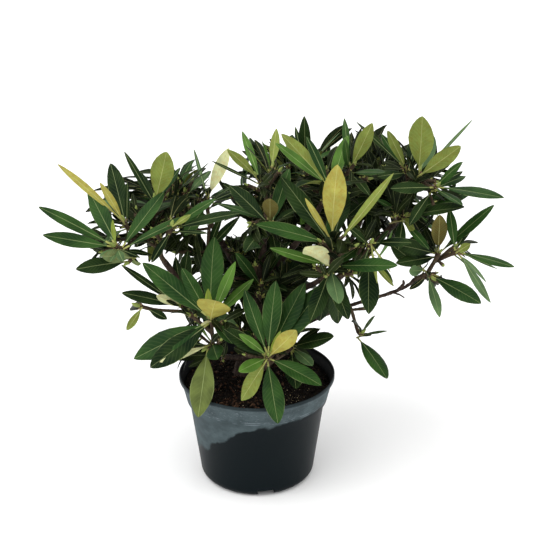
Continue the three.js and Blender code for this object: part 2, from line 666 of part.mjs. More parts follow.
const rhododendron = new THREE.Group();
addNode(rhododendron, 'pot', potSolid(), 'pot');
addNode(rhododendron, 'soil', soilSolid(), 'soil');
addNode(rhododendron, 'trunk', limbSolid(limbs.trunk, TRUNK.sides, TRUNK.steps), 'bark');
for (const [name, { from }] of Object.entries(BOUGHS)) {
  const isTrunk = from === 'trunk';
  const parent = limbSolid(limbs[from], isTrunk ? TRUNK.sides : BOUGH.sides,
    isTrunk ? TRUNK.steps : BOUGH.steps, CLEARANCE * 1.2);
  const bough = limbSolid(limbs[name], BOUGH.sides, BOUGH.steps).subtract(parent);
  addNode(rhododendron, name, largestPiece(bough), 'bark');
}
for (const mass of Object.keys(MASSES)) {
  addNode(rhododendron, mass, massSolid(mass), 'leaf');
}

export default rhododendron;
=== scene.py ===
"""A potted rhododendron: its plastic nursery pot, the compost in it, the trunk and boughs
under their bark, and the twigs, buds and leaves. Sizes are in millimetres and become
metres where a mesh is made. +Z is up, and the plant's front looks towards -Y."""
import math

import bmesh
import bpy
import numpy as np
from mathutils import Matrix, Vector, kdtree, noise


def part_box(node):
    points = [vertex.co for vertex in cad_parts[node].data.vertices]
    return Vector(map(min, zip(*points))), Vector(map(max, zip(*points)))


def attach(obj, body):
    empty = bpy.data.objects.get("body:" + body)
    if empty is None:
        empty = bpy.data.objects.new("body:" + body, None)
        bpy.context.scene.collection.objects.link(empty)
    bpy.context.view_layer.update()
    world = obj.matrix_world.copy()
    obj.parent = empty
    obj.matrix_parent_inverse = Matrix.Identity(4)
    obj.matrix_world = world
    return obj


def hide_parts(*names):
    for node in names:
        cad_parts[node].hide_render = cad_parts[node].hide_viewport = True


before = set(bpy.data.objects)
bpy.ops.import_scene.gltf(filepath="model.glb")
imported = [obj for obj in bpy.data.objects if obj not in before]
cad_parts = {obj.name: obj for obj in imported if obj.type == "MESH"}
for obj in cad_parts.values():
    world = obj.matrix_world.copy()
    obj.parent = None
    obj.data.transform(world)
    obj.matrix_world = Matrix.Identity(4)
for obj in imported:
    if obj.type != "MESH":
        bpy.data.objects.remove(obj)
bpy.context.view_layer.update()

MM = 0.001
UP = np.array([0.0, 0.0, 1.0])
GOLDEN_ANGLE = math.pi * (3 - math.sqrt(5))

# ---- the plant's sizes, as in the part's source --------------------------------------

CLEARANCE = 0.3
POT = {
    "height": 165, "rim_radius": 115, "lip_height": 6, "lip_taper": 3,
    "collar_radius": 107, "collar_height": 137,
    "shoulder_radius": 104.5, "shoulder_height": 126,
    "neck_radius": 99.5, "neck_height": 117,
    "foot_radius": 85.5, "foot_rounding": 14, "wall": 2,
}
NOTCH = {"count": 4, "width": 26, "depth": 54, "height": 11, "turn": 10}
SOIL = {"height": 150, "edge_drop": 3}

TRUNK = {
    "foot": (-20, 25, 150.3), "rise": (-20, 25, 192), "tip": (-2, 12, 246),
    "foot_radius": 12, "tip_radius": 8, "flare": 5.5,
}
# Each bough: the limb it springs from, how far up that limb, the point that it bends
# towards, its tip, and its radius at either end.
BOUGHS = {
    "bough_top": ("trunk", 0.97, (6, 14, 320), (14, 12, 405), (7, 5)),
    "bough_left": ("trunk", 0.66, (-72, 6, 262), (-130, -22, 352), (6.5, 4.5)),
    "bough_upper_left": ("bough_top", 0.2, (-32, 34, 320), (-62, 38, 378), (5, 4)),
    "bough_low_left": ("trunk", 0.3, (-34, 0, 186), (-46, -34, 206), (5.5, 4)),
    "bough_low_centre": ("trunk", 0.16, (-8, -24, 170), (14, -66, 206), (5, 4)),
    "bough_middle": ("trunk", 0.82, (2, -12, 240), (8, -16, 266), (4.5, 3.6)),
    "bough_centre": ("bough_top", 0.12, (52, -4, 290), (92, -62, 340), (5.5, 4)),
    "bough_top_right": ("bough_top", 0.42, (60, 20, 350), (92, 8, 425), (5, 4)),
    "bough_right": ("trunk", 0.72, (110, 44, 270), (196, 4, 398), (6.5, 4.5)),
    "bough_low_right": ("trunk", 0.42, (52, 16, 226), (126, -20, 284), (5.5, 4.5)),
    "bough_far_right": ("bough_low_right", 0.78, (146, -14, 316), (224, -27, 326), (4.2, 3.4)),
    "bough_back": ("bough_top", 0.3, (14, 60, 320), (22, 96, 348), (5, 4)),
    "bough_back_left": ("bough_left", 0.35, (-70, 56, 310), (-96, 80, 362), (4.6, 3.8)),
    "bough_back_right": ("bough_right", 0.45, (130, 60, 330), (150, 84, 362), (4.6, 3.8)),
    "bough_back_low": ("trunk", 0.5, (-4, 52, 204), (6, 82, 238), (4.6, 3.8)),
}

TWIG = {
    "join_radius": 3.6, "knob_radius": 5.8, "knob_from": 0.7, "set_off": 0.35, "arrive": 0.4,
    "joins": (0.2, 0.3, 0.4, 0.5, 0.6, 0.7), "homing": 0.35,
}
LEAF = {
    "length": 94, "length_spread": 0.13, "width_ratio": 0.3, "root_sunk": 0.4,
    "arch": 0.075, "shortest": 0.78, "whorl": 15, "skyward": 0.4, "breadth": 0.92,
}
OPENING = {"inner": 36, "outer": 98, "jitter": 8}
LEAD_ROOM = 27
WHORL_SEED = 1
SHORTER = (1, 0.84, 0.68, 0.54)
TURNED = (0, 16, -16)
SAMPLES_ALONG = 0.16 + 0.07 * np.arange(13)
SAMPLES_SIDE = np.array([-1, -0.5, 0, 0.5, 1])
LEAF_ROOM = {"same": 4, "other": 6}
WOOD_ROOM = 3.6
POT_ROOM = 4
SPACE_MARGIN = 1.3
SIDEWAYS = np.array([0.31, -0.52, 0.79])
BACK = {"cap": 1.15, "leaves": 9, "room": 15}
HEART = np.array([20.0, 10.0, 340.0])

# A shoot: its hub, its axis as [clock, towards], how many leaves its spiral has, its room,
# its leading leaves as (clock, towards, length), and the spiral's widest opening if it
# isn't the usual one. Clock is degrees round from +X to +Z, towards is degrees to the front.
# A leading leaf that BENT doesn't name also has the tint of the side that it shows to the
# front, and how wide and how long it is against the rest.
MASSES = {
    "foliage_left": ("bough_left", [
        ((-192, -70, 393), (125, 35), 10, 50, [(145, 0, 114), (160, 25, 106), (175, 60, 92),
            (345, 80, 74), (5, 60, 76), (130, -40, 92), (45, -35, 106, "mid"), (15, -15, 112)], 80),
        ((-184, -20, 411), (105, 10), 10, 40, [(135, 5, 120), (110, 30, 86), (105, -45, 94),
            (85, 0, 96)]),
        ((-142, 10, 431), (95, 10), 11, 30, [(75, 20, 84), (130, -50, 74, "deep", 0.8)]),
        ((-124, 55, 426), (80, -30), 11, 20, [(60, -60, 80), (40, 15, 84)]),
        ((-115, -45, 413), (80, 30), 10, 25, [(55, 50, 80), (20, 20, 104), (15, 45, 76)]),
    ]),
    "foliage_upper_left": ("bough_upper_left", [
        ((-69, 40, 424), (80, 10), 12, 35, [(70, 5, 80), (110, -45, 80), (355, 35, 90), (0, 60, 80),
            (10, -40, 66, "deep", 0.8), (220, 50, 64, "mid", 1.15)]),
        ((-82, 14, 342), (140, 20), 11, 10, []),
    ]),
    "foliage_low_left": ("bough_low_left", [
        ((-64, -75, 287), (100, 45), 13, 50, [(135, 0, 120), (115, 0, 86, "mid", 0.95),
            (85, -20, 112), (65, -5, 92, "fresh", 0.85), (40, -15, 84, "fresh", 0.8), (85, 45, 78),
            (205, 15, 122), (215, 25, 106)]),
        ((-108, -30, 285), (120, 45), 9, 35, [(160, 5, 86), (195, 25, 84), (145, -10, 100),
            (130, 40, 70, "cream", 0.9)]),
        ((-70, -60, 234), (200, 50), 8, 20, [(260, 25, 98), (180, 40, 80), (15, 68, 60)]),
    ]),
    "foliage_low_centre": ("bough_low_centre", [
        ((17, -95, 239), (85, 45), 14, 50, [(110, -20, 100), (85, -15, 106), (60, -20, 116),
            (45, -15, 124), (140, 20, 84), (50, 35, 86), (345, 30, 90), (170, 55, 70),
            (225, 50, 80), (280, 40, 98)]),
        ((51, -50, 231), (85, 40), 9, 20, [(30, 30, 82), (0, 60, 62, "grey", 1.15), (280, 60, 70)]),
        ((-26, -44, 258), (115, 25), 10, 10, []),
    ]),
    "foliage_middle": ("bough_middle", [
        ((8, -14, 312), (95, 15), 11, 10, [(120, 15, 76, "mid", 0.9)]),
        ((-30, 34, 342), (120, 10), 12, 10, []),
    ]),
    "foliage_centre": ("bough_centre", [
        ((107, -90, 373), (60, 35), 10, 45, [(10, 30, 92), (160, 15, 100),
            (135, 20, 92, "cream", 1.5, 0.62), (290, 60, 76), (242, 50, 98), (262, 58, 98)]),
        ((104, -80, 408), (95, -25), 11, 45, [(90, 3, 110, "gold", 1.12), (120, 10, 80),
            (160, 10, 112, "mid", 0.95), (130, -25, 120, "deep"), (50, 0, 120)]),
        ((158, -52, 374), (60, 30), 11, 25, [(262, 50, 100), (350, 60, 62), (65, 35, 80, "deep")]),
    ]),
    "foliage_top": ("bough_top", [
        ((20, -50, 421), (95, 25), 11, 25, [(90, 42, 72), (140, -30, 84, "deep", 1.05),
            (70, -35, 90, "mid", 0.95)]),
        ((3, 0, 467), (120, 0), 10, 25, [(125, 25, 70), (110, -45, 80), (160, 10, 74)]),
        ((23, 35, 470), (80, -30), 10, 15, [(85, -50, 74), (125, 40, 70)]),
    ]),
    "foliage_top_right": ("bough_top_right", [
        ((100, -30, 468), (110, 5), 11, 25, [(140, 10, 100), (140, -35, 96), (70, -45, 82)]),
        ((70, 50, 468), (90, -10), 10, 20, [(115, -50, 74), (88, 10, 82),
            (65, 35, 66, "mid", 0.9)]),
        ((131, 0, 482), (85, 40), 12, 25, [(95, -50, 80), (65, 15, 84), (100, 35, 74, "mid", 0.95),
            (20, 45, 70, "mid", 0.9)]),
    ]),
    "foliage_right": ("bough_right", [
        ((209, 20, 476), (115, 25), 8, 25, [(135, 15, 98), (115, 20, 74), (165, 45, 70, "deep")]),
        ((249, -30, 466), (60, 35), 7, 45, [(5, 40, 106), (172, 25, 82), (350, 60, 72),
            (0, -45, 62), (65, 28, 74)], 80),
        ((227, 0, 476), (70, -20), 8, 30, [(90, 18, 90), (50, -50, 72), (35, -25, 112)]),
        ((209, -10, 415), (60, 30), 8, 25, [(25, 35, 102, "deep", 1.1), (260, 60, 62),
            (315, 55, 68), (165, 30, 70)]),
    ]),
    "foliage_low_right": ("bough_far_right", [
        ((284, -40, 373), (40, 38), 8, 40, [(358, 40, 90), (300, 5, 92), (312, -20, 76),
            (100, -45, 70), (40, -40, 88), (45, -50, 62)], 80),
        ((256, -10, 361), (110, 30), 6, 25, [(90, 15, 60), (170, 35, 66), (190, 50, 66)]),
        ((247, -30, 331), (320, 20), 2, 25, [(345, 35, 86), (290, 50, 70), (155, 40, 52)]),
    ]),
    "foliage_hanging": ("bough_low_right", [
        ((150, -50, 252), (60, 30), 0, 20, [(70, 35, 50), (30, 40, 50), (318, 55, 92)]),
    ]),
}
# The back's masses: the middle and radii of the ellipsoid that their shoots spread over,
# how many there are, and the seed.
BACK_MASSES = {
    "foliage_back_left": ("bough_back_left", (-100, 88, 398), (44, 28, 30), 3, 61),
    "foliage_back": ("bough_back", (26, 116, 382), (56, 34, 44), 5, 62),
    "foliage_back_right": ("bough_back_right", (166, 88, 404), (54, 28, 40), 4, 63),
    "foliage_back_low": ("bough_back_low", (4, 104, 276), (46, 24, 24), 3, 64),
}

# ---- numbers, directions and curves ---------------------------------------------------


def seeded(seed):
    """A generator of even random numbers from 0 to 1, the same for the same seed."""
    state = seed

    def draw():
        nonlocal state
        full = 0xFFFFFFFF
        state = (state + 0x6D2B79F5) & full
        mixed = ((state ^ (state >> 15)) * (1 | state)) & full
        mixed = ((mixed + (((mixed ^ (mixed >> 7)) * (61 | mixed)) & full)) ^ mixed) & full
        return (mixed ^ (mixed >> 14)) / 4294967296

    return draw


def unit(vector):
    return vector / np.linalg.norm(vector)


def square_to(axis, vector):
    """The part of a vector that stands square to the unit vector axis, at length 1."""
    return unit(vector - axis * (vector @ axis))


def direction(clock, towards):
    """The heading at a clock's place, that many degrees towards the front."""
    around, front = math.radians(clock), math.radians(towards)
    return np.array([math.cos(around) * math.cos(front), -math.sin(front),
                     math.sin(around) * math.cos(front)])


def aside(axis, turn, start=SIDEWAYS):
    """The direction square to an axis that is turned round it from the start."""
    side = square_to(axis, start)
    return side * math.cos(turn) + np.cross(axis, side) * math.sin(turn)


def opened(axis, opening, turn, start=SIDEWAYS):
    """The direction that leaves an axis at an opening, turned round it from the start."""
    return axis * math.cos(opening) + aside(axis, turn, start) * math.sin(opening)


def along(curve, share):
    """The point at a share of a Bezier curve, given by its control points."""
    points = np.asarray(curve, float)
    while len(points) > 1:
        points = points[:-1] * (1 - share) + points[1:] * share
    return points[0]


def heading_of(curve, share, step=1e-4):
    """A curve's heading there."""
    before, after = max(share - step, 0), min(share + step, 1)
    return unit(along(curve, after) - along(curve, before))


def length_of(curve, steps=200):
    points = np.array([along(curve, step / steps) for step in range(steps + 1)])
    return np.linalg.norm(np.diff(points, axis=0), axis=1).sum()


def mix(low, high, share):
    return low + (high - low) * share


# ---- trunk, boughs and shoots ----------------------------------------------------------

limbs = {"trunk": (
    np.array([TRUNK["foot"], TRUNK["rise"], TRUNK["tip"]], float),
    lambda share: mix(TRUNK["foot_radius"], TRUNK["tip_radius"], share)
    + TRUNK["flare"] * (1 - share) ** 6,
)}
for bough, (parent, place, bend, tip, (thick, thin)) in BOUGHS.items():
    limbs[bough] = (
        np.array([along(limbs[parent][0], place), bend, tip], float),
        lambda share, thick=thick, thin=thin: mix(thick, thin, share),
    )


def spread(centre, radii, count, seed):
    """Shoots over the outer face of an ellipsoid, in a golden spiral."""
    random = seeded(seed)
    outwards = unit(np.array(centre, float) - HEART)
    found = []
    for index in range(count):
        opening = math.acos(1 - BACK["cap"] * (index + 0.5) / count)
        heading = opened(outwards, opening, GOLDEN_ANGLE * index + random(), UP)
        found.append((np.array(centre) + np.array(radii) * heading, heading))
    return found


class Shoot:
    """A twig's end with its whorl of leaves."""

    def __init__(self, mass, hub, axis, leaves, room, leads=(), widest=OPENING["outer"]):
        self.mass, self.hub, self.axis = mass, np.array(hub, float), axis
        self.leaves, self.room, self.leads, self.widest = leaves, room, leads, widest
        self.twig = None


shoots = []
bough_of = {}
for mass, (bough, own) in MASSES.items():
    bough_of[mass] = bough
    for hub, aim, leaves, room, leads, *widest in own:
        shoots.append(Shoot(mass, hub, direction(*aim), leaves, room, leads, *widest))
for mass, (bough, *ellipsoid) in BACK_MASSES.items():
    bough_of[mass] = bough
    for hub, heading in spread(*ellipsoid):
        shoots.append(Shoot(mass, hub, heading, BACK["leaves"], BACK["room"]))

HUBS = np.array([shoot.hub for shoot in shoots])
ROOMS = np.array([shoot.room for shoot in shoots], float)
HUB_MASSES = np.array([shoot.mass for shoot in shoots])


def depth_in_space(points, mass):
    """How far inside the border of the mass's space each point lies."""
    measures = ((points[:, None] - HUBS[None]) ** 2).sum(2) - ROOMS ** 2
    own = HUB_MASSES == mass
    nearest = np.where(own, measures, np.inf).argmin(1)
    least = measures[np.arange(len(points)), nearest]
    apart = np.linalg.norm(HUBS[None] - HUBS[nearest][:, None], axis=2)
    with np.errstate(divide="ignore", invalid="ignore"):
        depths = (measures - least[:, None]) / (2 * apart)
    return np.where(own, np.inf, depths).min(1)


def clear_of_pot(points):
    radius = np.hypot(points[:, 0], points[:, 1])
    over = points[:, 2] > POT["height"] + POT_ROOM
    outside = radius > POT["rim_radius"] + POT_ROOM
    above = points[:, 2] > SOIL["height"] + POT_ROOM
    return over | outside | (above & (radius < POT["collar_radius"] - POT_ROOM))


# ---- the ways of the twigs -------------------------------------------------------------


def join_place(twigs, hub):
    """The place on the twigs grown so far that a new shoot's twig springs from."""
    places = [along(twig, share) for twig in twigs for share in TWIG["joins"]]
    foot = twigs[0][0]
    return min(places, key=lambda point: np.linalg.norm(point - hub)
               + TWIG["homing"] * np.linalg.norm(point - foot))


def twig_way(start, set_off, hub, axis):
    span = np.linalg.norm(start - hub)
    return np.array([start, start + set_off * TWIG["set_off"] * span,
                     hub - axis * TWIG["arrive"] * span, hub])


twigs_of = {}
for mass, bough in bough_of.items():
    curve = limbs[bough][0]
    onwards = heading_of(curve, 1)
    foot = along(curve, 1) + onwards * CLEARANCE
    own = [shoot for shoot in shoots if shoot.mass == mass]
    twigs = []
    for shoot in sorted(own, key=lambda shoot: np.linalg.norm(shoot.hub - foot)):
        start = join_place(twigs, shoot.hub) if twigs else foot
        set_off = unit(shoot.hub - start) if twigs else onwards
        shoot.twig = twig_way(start, set_off, shoot.hub, shoot.axis)
        twigs.append(shoot.twig)
    twigs_of[mass] = twigs


WOOD_STEP = 5


class Wood:
    """Points along the limbs and twigs, with the radius there and a twig's mass."""

    def __init__(self):
        self.points, self.radii, self.masses = np.empty((0, 3)), np.empty(0), np.empty(0, "U24")

    def add(self, curve, radius_at, mass=""):
        stations = math.ceil(length_of(curve) / WOOD_STEP)
        shares = np.arange(stations + 1) / stations
        self.points = np.vstack([self.points, [along(curve, share) for share in shares]])
        self.radii = np.append(self.radii, [radius_at(share) for share in shares])
        self.masses = np.append(self.masses, [mass] * len(shares))


wood = Wood()
for curve, radius_at in limbs.values():
    wood.add(curve, radius_at)
for mass, twigs in twigs_of.items():
    for twig in twigs:
        wood.add(twig, lambda share: TWIG["knob_radius"] if share > TWIG["knob_from"]
                 else TWIG["join_radius"], mass)

# ---- leaves ------------------------------------------------------------------------------


class Leaf:
    """A leaf's root, its heading, its upper side's face, and the points that it keeps clear."""

    def __init__(self, stand, axis, heading, length, mass, is_lead=False):
        self.heading, self.length, self.mass, self.is_lead = heading, length, mass, is_lead
        self.face = square_to(heading, axis + UP * LEAF["skyward"])
        self.across = np.cross(self.face, heading)
        self.root = stand - heading * LEAF["root_sunk"]
        self.look, self.breadth, self.cut, self.bowed = "", LEAF["breadth"], 1, LEAF["arch"]
        self.spray = 0

    def samples(self):
        span = SAMPLES_ALONG[:, None, None]
        half = self.length * LEAF["width_ratio"] * 0.5 * np.sin(np.pi * np.minimum(span, 0.95))
        raised = self.length * self.bowed * 4 * span * (1 - span)
        points = (self.root + self.heading * self.length * span + self.face * raised
                  + self.across * (half * SAMPLES_SIDE[None, :, None]))
        return points.reshape(-1, 3)


def whorl_leaf(shoot, heading, length, order, is_lead=False):
    stand = shoot.hub - shoot.axis * LEAF["whorl"] * order
    return Leaf(stand, shoot.axis, heading, length, shoot.mass, is_lead)


def leading_leaves(shoot):
    """A shoot's leading leaves, each as the list of forms to try, best first."""
    return [[whorl_leaf(shoot, direction(clock, towards), length * share,
                        (index + 0.5) / len(shoot.leads), is_lead=True) for share in SHORTER]
            for index, (clock, towards, length, *_) in enumerate(shoot.leads)]


def spiral_leaves(shoot, seed, count, size=1.0):
    """The rest of its whorl in a spiral, which leaves the leads their room."""
    random = seeded(seed)
    leads = [direction(clock, towards) for clock, towards, *_ in shoot.leads]
    start = random() * 2 * math.pi
    wanted = []
    for index in range(count):
        order = (index + 0.5) / count
        opening = math.radians(mix(OPENING["inner"], shoot.widest, order)
                               + OPENING["jitter"] * (2 * random() - 1))
        length = (LEAF["length"] * size * (1 + LEAF["length_spread"] * (2 * random() - 1))
                  * (LEAF["shortest"] + (1 - LEAF["shortest"]) * math.sin(math.pi * order)))
        headings = [opened(shoot.axis, opening, start + GOLDEN_ANGLE * index + math.radians(turn))
                    for turn in TURNED]
        if all(lead @ headings[0] <= math.cos(math.radians(LEAD_ROOM)) for lead in leads):
            wanted.append([whorl_leaf(shoot, heading, length * share, order)
                           for share in SHORTER for heading in headings])
    return wanted


class Crown:
    """The leaves that have grown, and the points that they take up."""

    def __init__(self):
        self.leaves, self.points = [], []
        self.lows, self.highs = np.empty((0, 3)), np.empty((0, 3))
        self.masses = np.empty(0, "U24")
        self.room, self.margin, self.wood_room = LEAF_ROOM, SPACE_MARGIN, WOOD_ROOM
        self.may_take = lambda points, mass: True

    def fits(self, leaf, points):
        """Whether a leaf is clear of the pot, the wood and the leaves grown before it."""
        if not clear_of_pot(points).all() or not self.may_take(points, leaf.mass):
            return False
        if not leaf.is_lead and (depth_in_space(points, leaf.mass) < self.margin).any():
            return False
        low, high = points.min(0), points.max(0)
        limit = wood.radii + self.wood_room
        near = ((wood.masses != leaf.mass) & (wood.points > low - limit[:, None]).all(1)
                & (wood.points < high + limit[:, None]).all(1))
        gaps = np.linalg.norm(points[:, None] - wood.points[near][None], axis=2)
        if (gaps < limit[near]).any():
            return False
        widest = self.room["other"]
        near = (self.lows < high + widest).all(1) & (self.highs > low - widest).all(1)
        if leaf.is_lead:
            near &= self.masses != leaf.mass
        for index in np.flatnonzero(near):
            limit = self.room["same" if self.masses[index] == leaf.mass else "other"]
            gaps = ((points[:, None] - self.points[index][None]) ** 2).sum(2)
            if (gaps <= limit ** 2).any():
                return False
        return True

    def add(self, leaf, points, spray):
        leaf.spray = spray
        self.leaves.append(leaf)
        self.points.append(points)
        self.lows = np.vstack([self.lows, points.min(0)])
        self.highs = np.vstack([self.highs, points.max(0)])
        self.masses = np.append(self.masses, leaf.mass)

    def grow(self, wanted, spray=0):
        """Grows the first form of each leaf that has room, and returns those grown."""
        grown = []
        for forms in wanted:
            for leaf in forms:
                points = leaf.samples()
                if self.fits(leaf, points):
                    self.add(leaf, points, spray)
                    grown.append(leaf)
                    break
            else:
                grown.append(None)
        return grown

    def shed(self, falls):
        """Takes out the leaves that a test of leaf and points picks."""
        stays = [not falls(*pair) for pair in zip(self.leaves, self.points)]
        self.leaves = [leaf for leaf, keep in zip(self.leaves, stays) if keep]
        self.points = [points for points, keep in zip(self.points, stays) if keep]
        self.lows, self.highs = self.lows[stays], self.highs[stays]
        self.masses = self.masses[stays]


def dress(leaf, look="", breadth=1, cut=1):
    """Gives a leading leaf the side that it shows, its breadth and how long it is."""
    leaf.look, leaf.breadth, leaf.cut = look, breadth, cut
    return leaf


crown = Crown()
leads_of = {}
for number, shoot in enumerate(shoots):
    grown = crown.grow(leading_leaves(shoot), number)
    for index, (lead, leaf) in enumerate(zip(shoot.leads, grown)):
        if leaf is not None:
            leads_of[number, index] = dress(leaf, *lead[3:])
for number, shoot in enumerate(shoots):
    crown.grow(spiral_leaves(shoot, WHORL_SEED + number, shoot.leaves), number)

# ---- finer twigs and older leaves, by the same rule --------------------------------------

FINER = {
    "joins": (0.15, 0.32, 0.48, 0.63, 0.78), "length": (22, 44), "onwards": 0.5, "spread": 0.85,
    "rise": 0.3, "gap": 15, "border": 4, "radius": 2.5, "room": {"same": 1.4, "other": 1.6},
    "margin": 0.3, "wood_room": 0.6, "breadth": 0.76,
    "leaves": 10, "second": 16, "third": 14, "third_size": 0.8,
}
# The leaves of the years before: how many, where on the twig they stand, how far they open,
# how long they are against the rest, and how much their spiral wavers.
OLDER = {"count": 15, "from": 0.93, "step": 0.055, "opening": (55, 100),
         "length": (0.68, 0.98), "waver": 0.6}
# Seeds of the random draws. To all but the last a mass's, shoot's, leaf's or spray's number
# is added.
SEEDS = {"side_shoots": 201, "finer": 301, "second": 401, "older": 501, "main_twig": 601,
         "finer_twig": 701, "bud": 801, "third": 901, "blade": 1000, "spray": 7000, "crumbs": 91}
FINER_SPRAYS = 100  # the number of the first finer shoot's spray
# The crown is open to the front in these places: the middle and the half size, as x and z,
# on the plane through the pot's middle, in the line of sight from EYE.
EYE = np.array([29.0, -1800.0, 1095.0])
OPEN_PLACES = np.array((
    (98, 555, 18, 21), (58, 549, 5, 18), (42, 549, 11, 13), (6, 541, 15, 20), (-25, 526, 8, 19),
    (-54, 515, 11, 20), (-73, 503, 7, 14), (-99, 505, 11, 13), (-149, 496, 11, 12),
    (-190, 509, 7, 14), (-227, 484, 18, 16), (-279, 455, 21, 18), (-271, 392, 25, 9),
    (-251, 351, 23, 8), (-216, 314, 29, 11), (143, 561, 15, 17), (194, 545, 11, 18),
    (256, 545, 11, 18), (295, 519, 11, 17), (324, 484, 28, 26), (309, 421, 8, 4),
    (331, 392, 21, 20), (282, 329, 16, 11), (320, 340, 6, 5), (339, 303, 13, 14),
    (306, 261, 17, 14), (284, 277, 9, 10), (232, 279, 14, 19), (-179, 208, 21, 16),
    (-140, 258, 13, 6), (140, 197, 12, 29), (153, 261, 9, 14), (108, 200, 18, 7),
    (212, 320, 17, 12), (-23, 395, 13, 8), (-40, 391, 10, 8), (-125, 340, 9, 14),
    (-30, 486, 10, 10), (235, 348, 7, 11), (-42, 421, 10, 9), (-33, 467, 11, 7), (257, 342, 10, 9),
    (-111, 205, 12, 5), (269, 354, 7, 6), (-5, 458, 6, 6), (179, 307, 7, 6), (214, 388, 10, 5),
    (233, 443, 10, 4), (266, 413, 7, 5), (-81, 221, 6, 8), (-110, 253, 6, 5), (-3, 130, 119, 57),
    (-140, 142, 33, 33), (178, 249, 19, 19), (181, 210, 16, 13), (133, 232, 12, 11),
    (206, 325, 9, 19), (78, 534, 12, 7), (-115, 508, 17, 12), (-152, 496, 14, 9), (335, 377, 20, 9),
    (-260, 392, 23, 8), (-141, 236, 23, 14), (297, 468, 13, 13), (327, 362, 22, 7),
    (309, 431, 18, 7), (300, 331, 7, 9),
), float)
# Leading leaves as they have bent since, by shoot: which one, its clock, towards and length,
# the side that it shows, and how wide it is.
BENT = {
    0: [(0, 149, 0, 117, "mid", 0.6), (1, 161, 25, 107, "mid", 0.74), (2, 187, 53, 35, "grey", 0.9),
        (3, 336, 74, 40, "grey", 1), (4, 222, 70, 32, "grey", 0.9), (5, 125, -37, 98, "mid", 1.05),
        (7, 24, -15, 109, "mid", 0.6)],
    1: [(0, 134, 5, 124, "gold", 0.4), (1, 108, 28, 92, "gold", 0.52),
        (2, 107, -41, 100, "deep", 0.95), (3, 85, 0, 69, "deep", 0.6)],
    2: [(0, 76, 18, 91, "olive", 1.5)],
    3: [(0, 35, 11, 72, "deep", 0.35), (1, 47, 14, 92, "deep", 0.5)],
    4: [(0, 39, 22, 40, "olive", 0.8), (1, 23, 19, 112, "deep", 0.7), (2, 19, 43, 79, "deep", 0.5)],
    5: [(0, 69, 5, 84, "cream", 0.85), (1, 110, -42, 84, "grey", 0.25),
        (2, 356, 33, 94, "mid", 0.7), (3, 39, 23, 56, "deep", 0.6)],
    7: [(0, 138, 0, 124, "mid", 0.95), (2, 89, -19, 116, "mid", 1.2), (5, 84, 47, 91, "gold", 2.1),
        (6, 202, 15, 121, "mid", 1.15), (7, 212, 25, 108, "deep", 1.15)],
    8: [(0, 161, 5, 87, "deep", 0.8), (1, 126, 47, 49, "deep", 0.7),
        (2, 147, -9, 108, "deep", 0.4)],
    9: [(0, 262, 33, 102, "worn", 1.25), (1, 185, 37, 85, "cream", 0.5),
        (2, 3, 81, 56, "mid", 1.9)],
    10: [(0, 112, -21, 98, "mid", 0.9), (1, 84, -15, 107, "mid", 1), (2, 61, -20, 116, "mid", 1.05),
        (3, 48, -14, 130, "mid", 1.15), (4, 139, 19, 87, "deep", 0.95),
        (5, 56, 33, 91, "gold", 1.1), (6, 347, 30, 91, "mid", 1.25), (7, 168, 55, 70, "fresh", 1.1),
        (8, 225, 51, 79, "olive", 1.5), (9, 280, 42, 95, "mid", 1.32)],
    11: [(0, 32, 31, 80, "deep", 1.4), (2, 281, 62, 69, "deep", 1.5)],
    15: [(0, 12, 29, 96, "mid", 1.15), (1, 157, 15, 97, "fresh", 0.6),
        (3, 284, 70, 70, "grey", 1.4), (4, 249, 23, 77, "deep", 1.2),
        (5, 293, 44, 77, "deep", 1.3)],
    16: [(1, 120, 10, 80, "gold", 0.45), (4, 52, 0, 134, "olive", 0.36)],
    17: [(0, 263, 54, 94, "deep", 1.35), (1, 329, 53, 67, "olive", 0.5)],
    18: [(0, 90, 42, 72, "brown", 1.15)],
    19: [(0, 126, 23, 74, "olive", 0.75), (1, 112, -42, 85, "fresh", 0.6),
        (2, 152, 9, 82, "deep", 0.3)],
    20: [(0, 84, -52, 72, "olive", 0.8), (1, 121, 33, 83, "deep", 0.45)],
    21: [(0, 138, 10, 101, "fresh", 0.6), (1, 135, -31, 107, "olive", 0.8),
        (2, 72, -41, 89, "fresh", 0.95)],
    22: [(0, 110, -51, 73, "deep", 0.45), (1, 91, 9, 87, "deep", 0.75)],
    23: [(0, 97, -48, 82, "mid", 0.5), (1, 67, 15, 82, "olive", 1)],
    24: [(0, 135, 14, 108, "deep", 0.3), (1, 115, 19, 78, "olive", 0.7)],
    25: [(0, 5, 40, 107, "mid", 0.85), (1, 170, 28, 75, "deep", 0.9), (2, 358, 62, 71, "mid", 0.9),
        (3, 7, -41, 66, "mid", 0.95), (4, 58, 28, 75, "mid", 0.9)],
    26: [(0, 90, 17, 95, "olive", 1.5), (1, 54, -47, 76, "grey", 1.05),
        (2, 41, -23, 121, "grey", 0.2)],
    27: [(1, 249, 61, 61, "deep", 1), (2, 323, 54, 69, "mid", 0.85),
        (3, 173, 46, 28, "brown", 0.8)],
    28: [(0, 0, 41, 89, "mid", 0.8), (1, 303, 5, 91, "grey", 0.75), (2, 312, -19, 78, "grey", 0.55),
        (3, 95, -46, 69, "mid", 0.85), (4, 45, -56, 68, "deep", 0.5),
        (5, 43, -47, 65, "deep", 0.6)],
    29: [(0, 89, 14, 65, "brown", 1.3), (1, 155, 26, 86, "deep", 1.1),
        (2, 172, 38, 83, "deep", 0.9)],
    30: [(0, 343, 35, 87, "mid", 1.3), (1, 289, 48, 72, "grey", 1.1),
        (2, 156, 50, 43, "grey", 1.5)],
    31: [(0, 68, 32, 54, "grey", 0.6), (1, 30, 36, 54, "mid", 0.5), (2, 326, 57, 90, "mid", 1.25)],
}
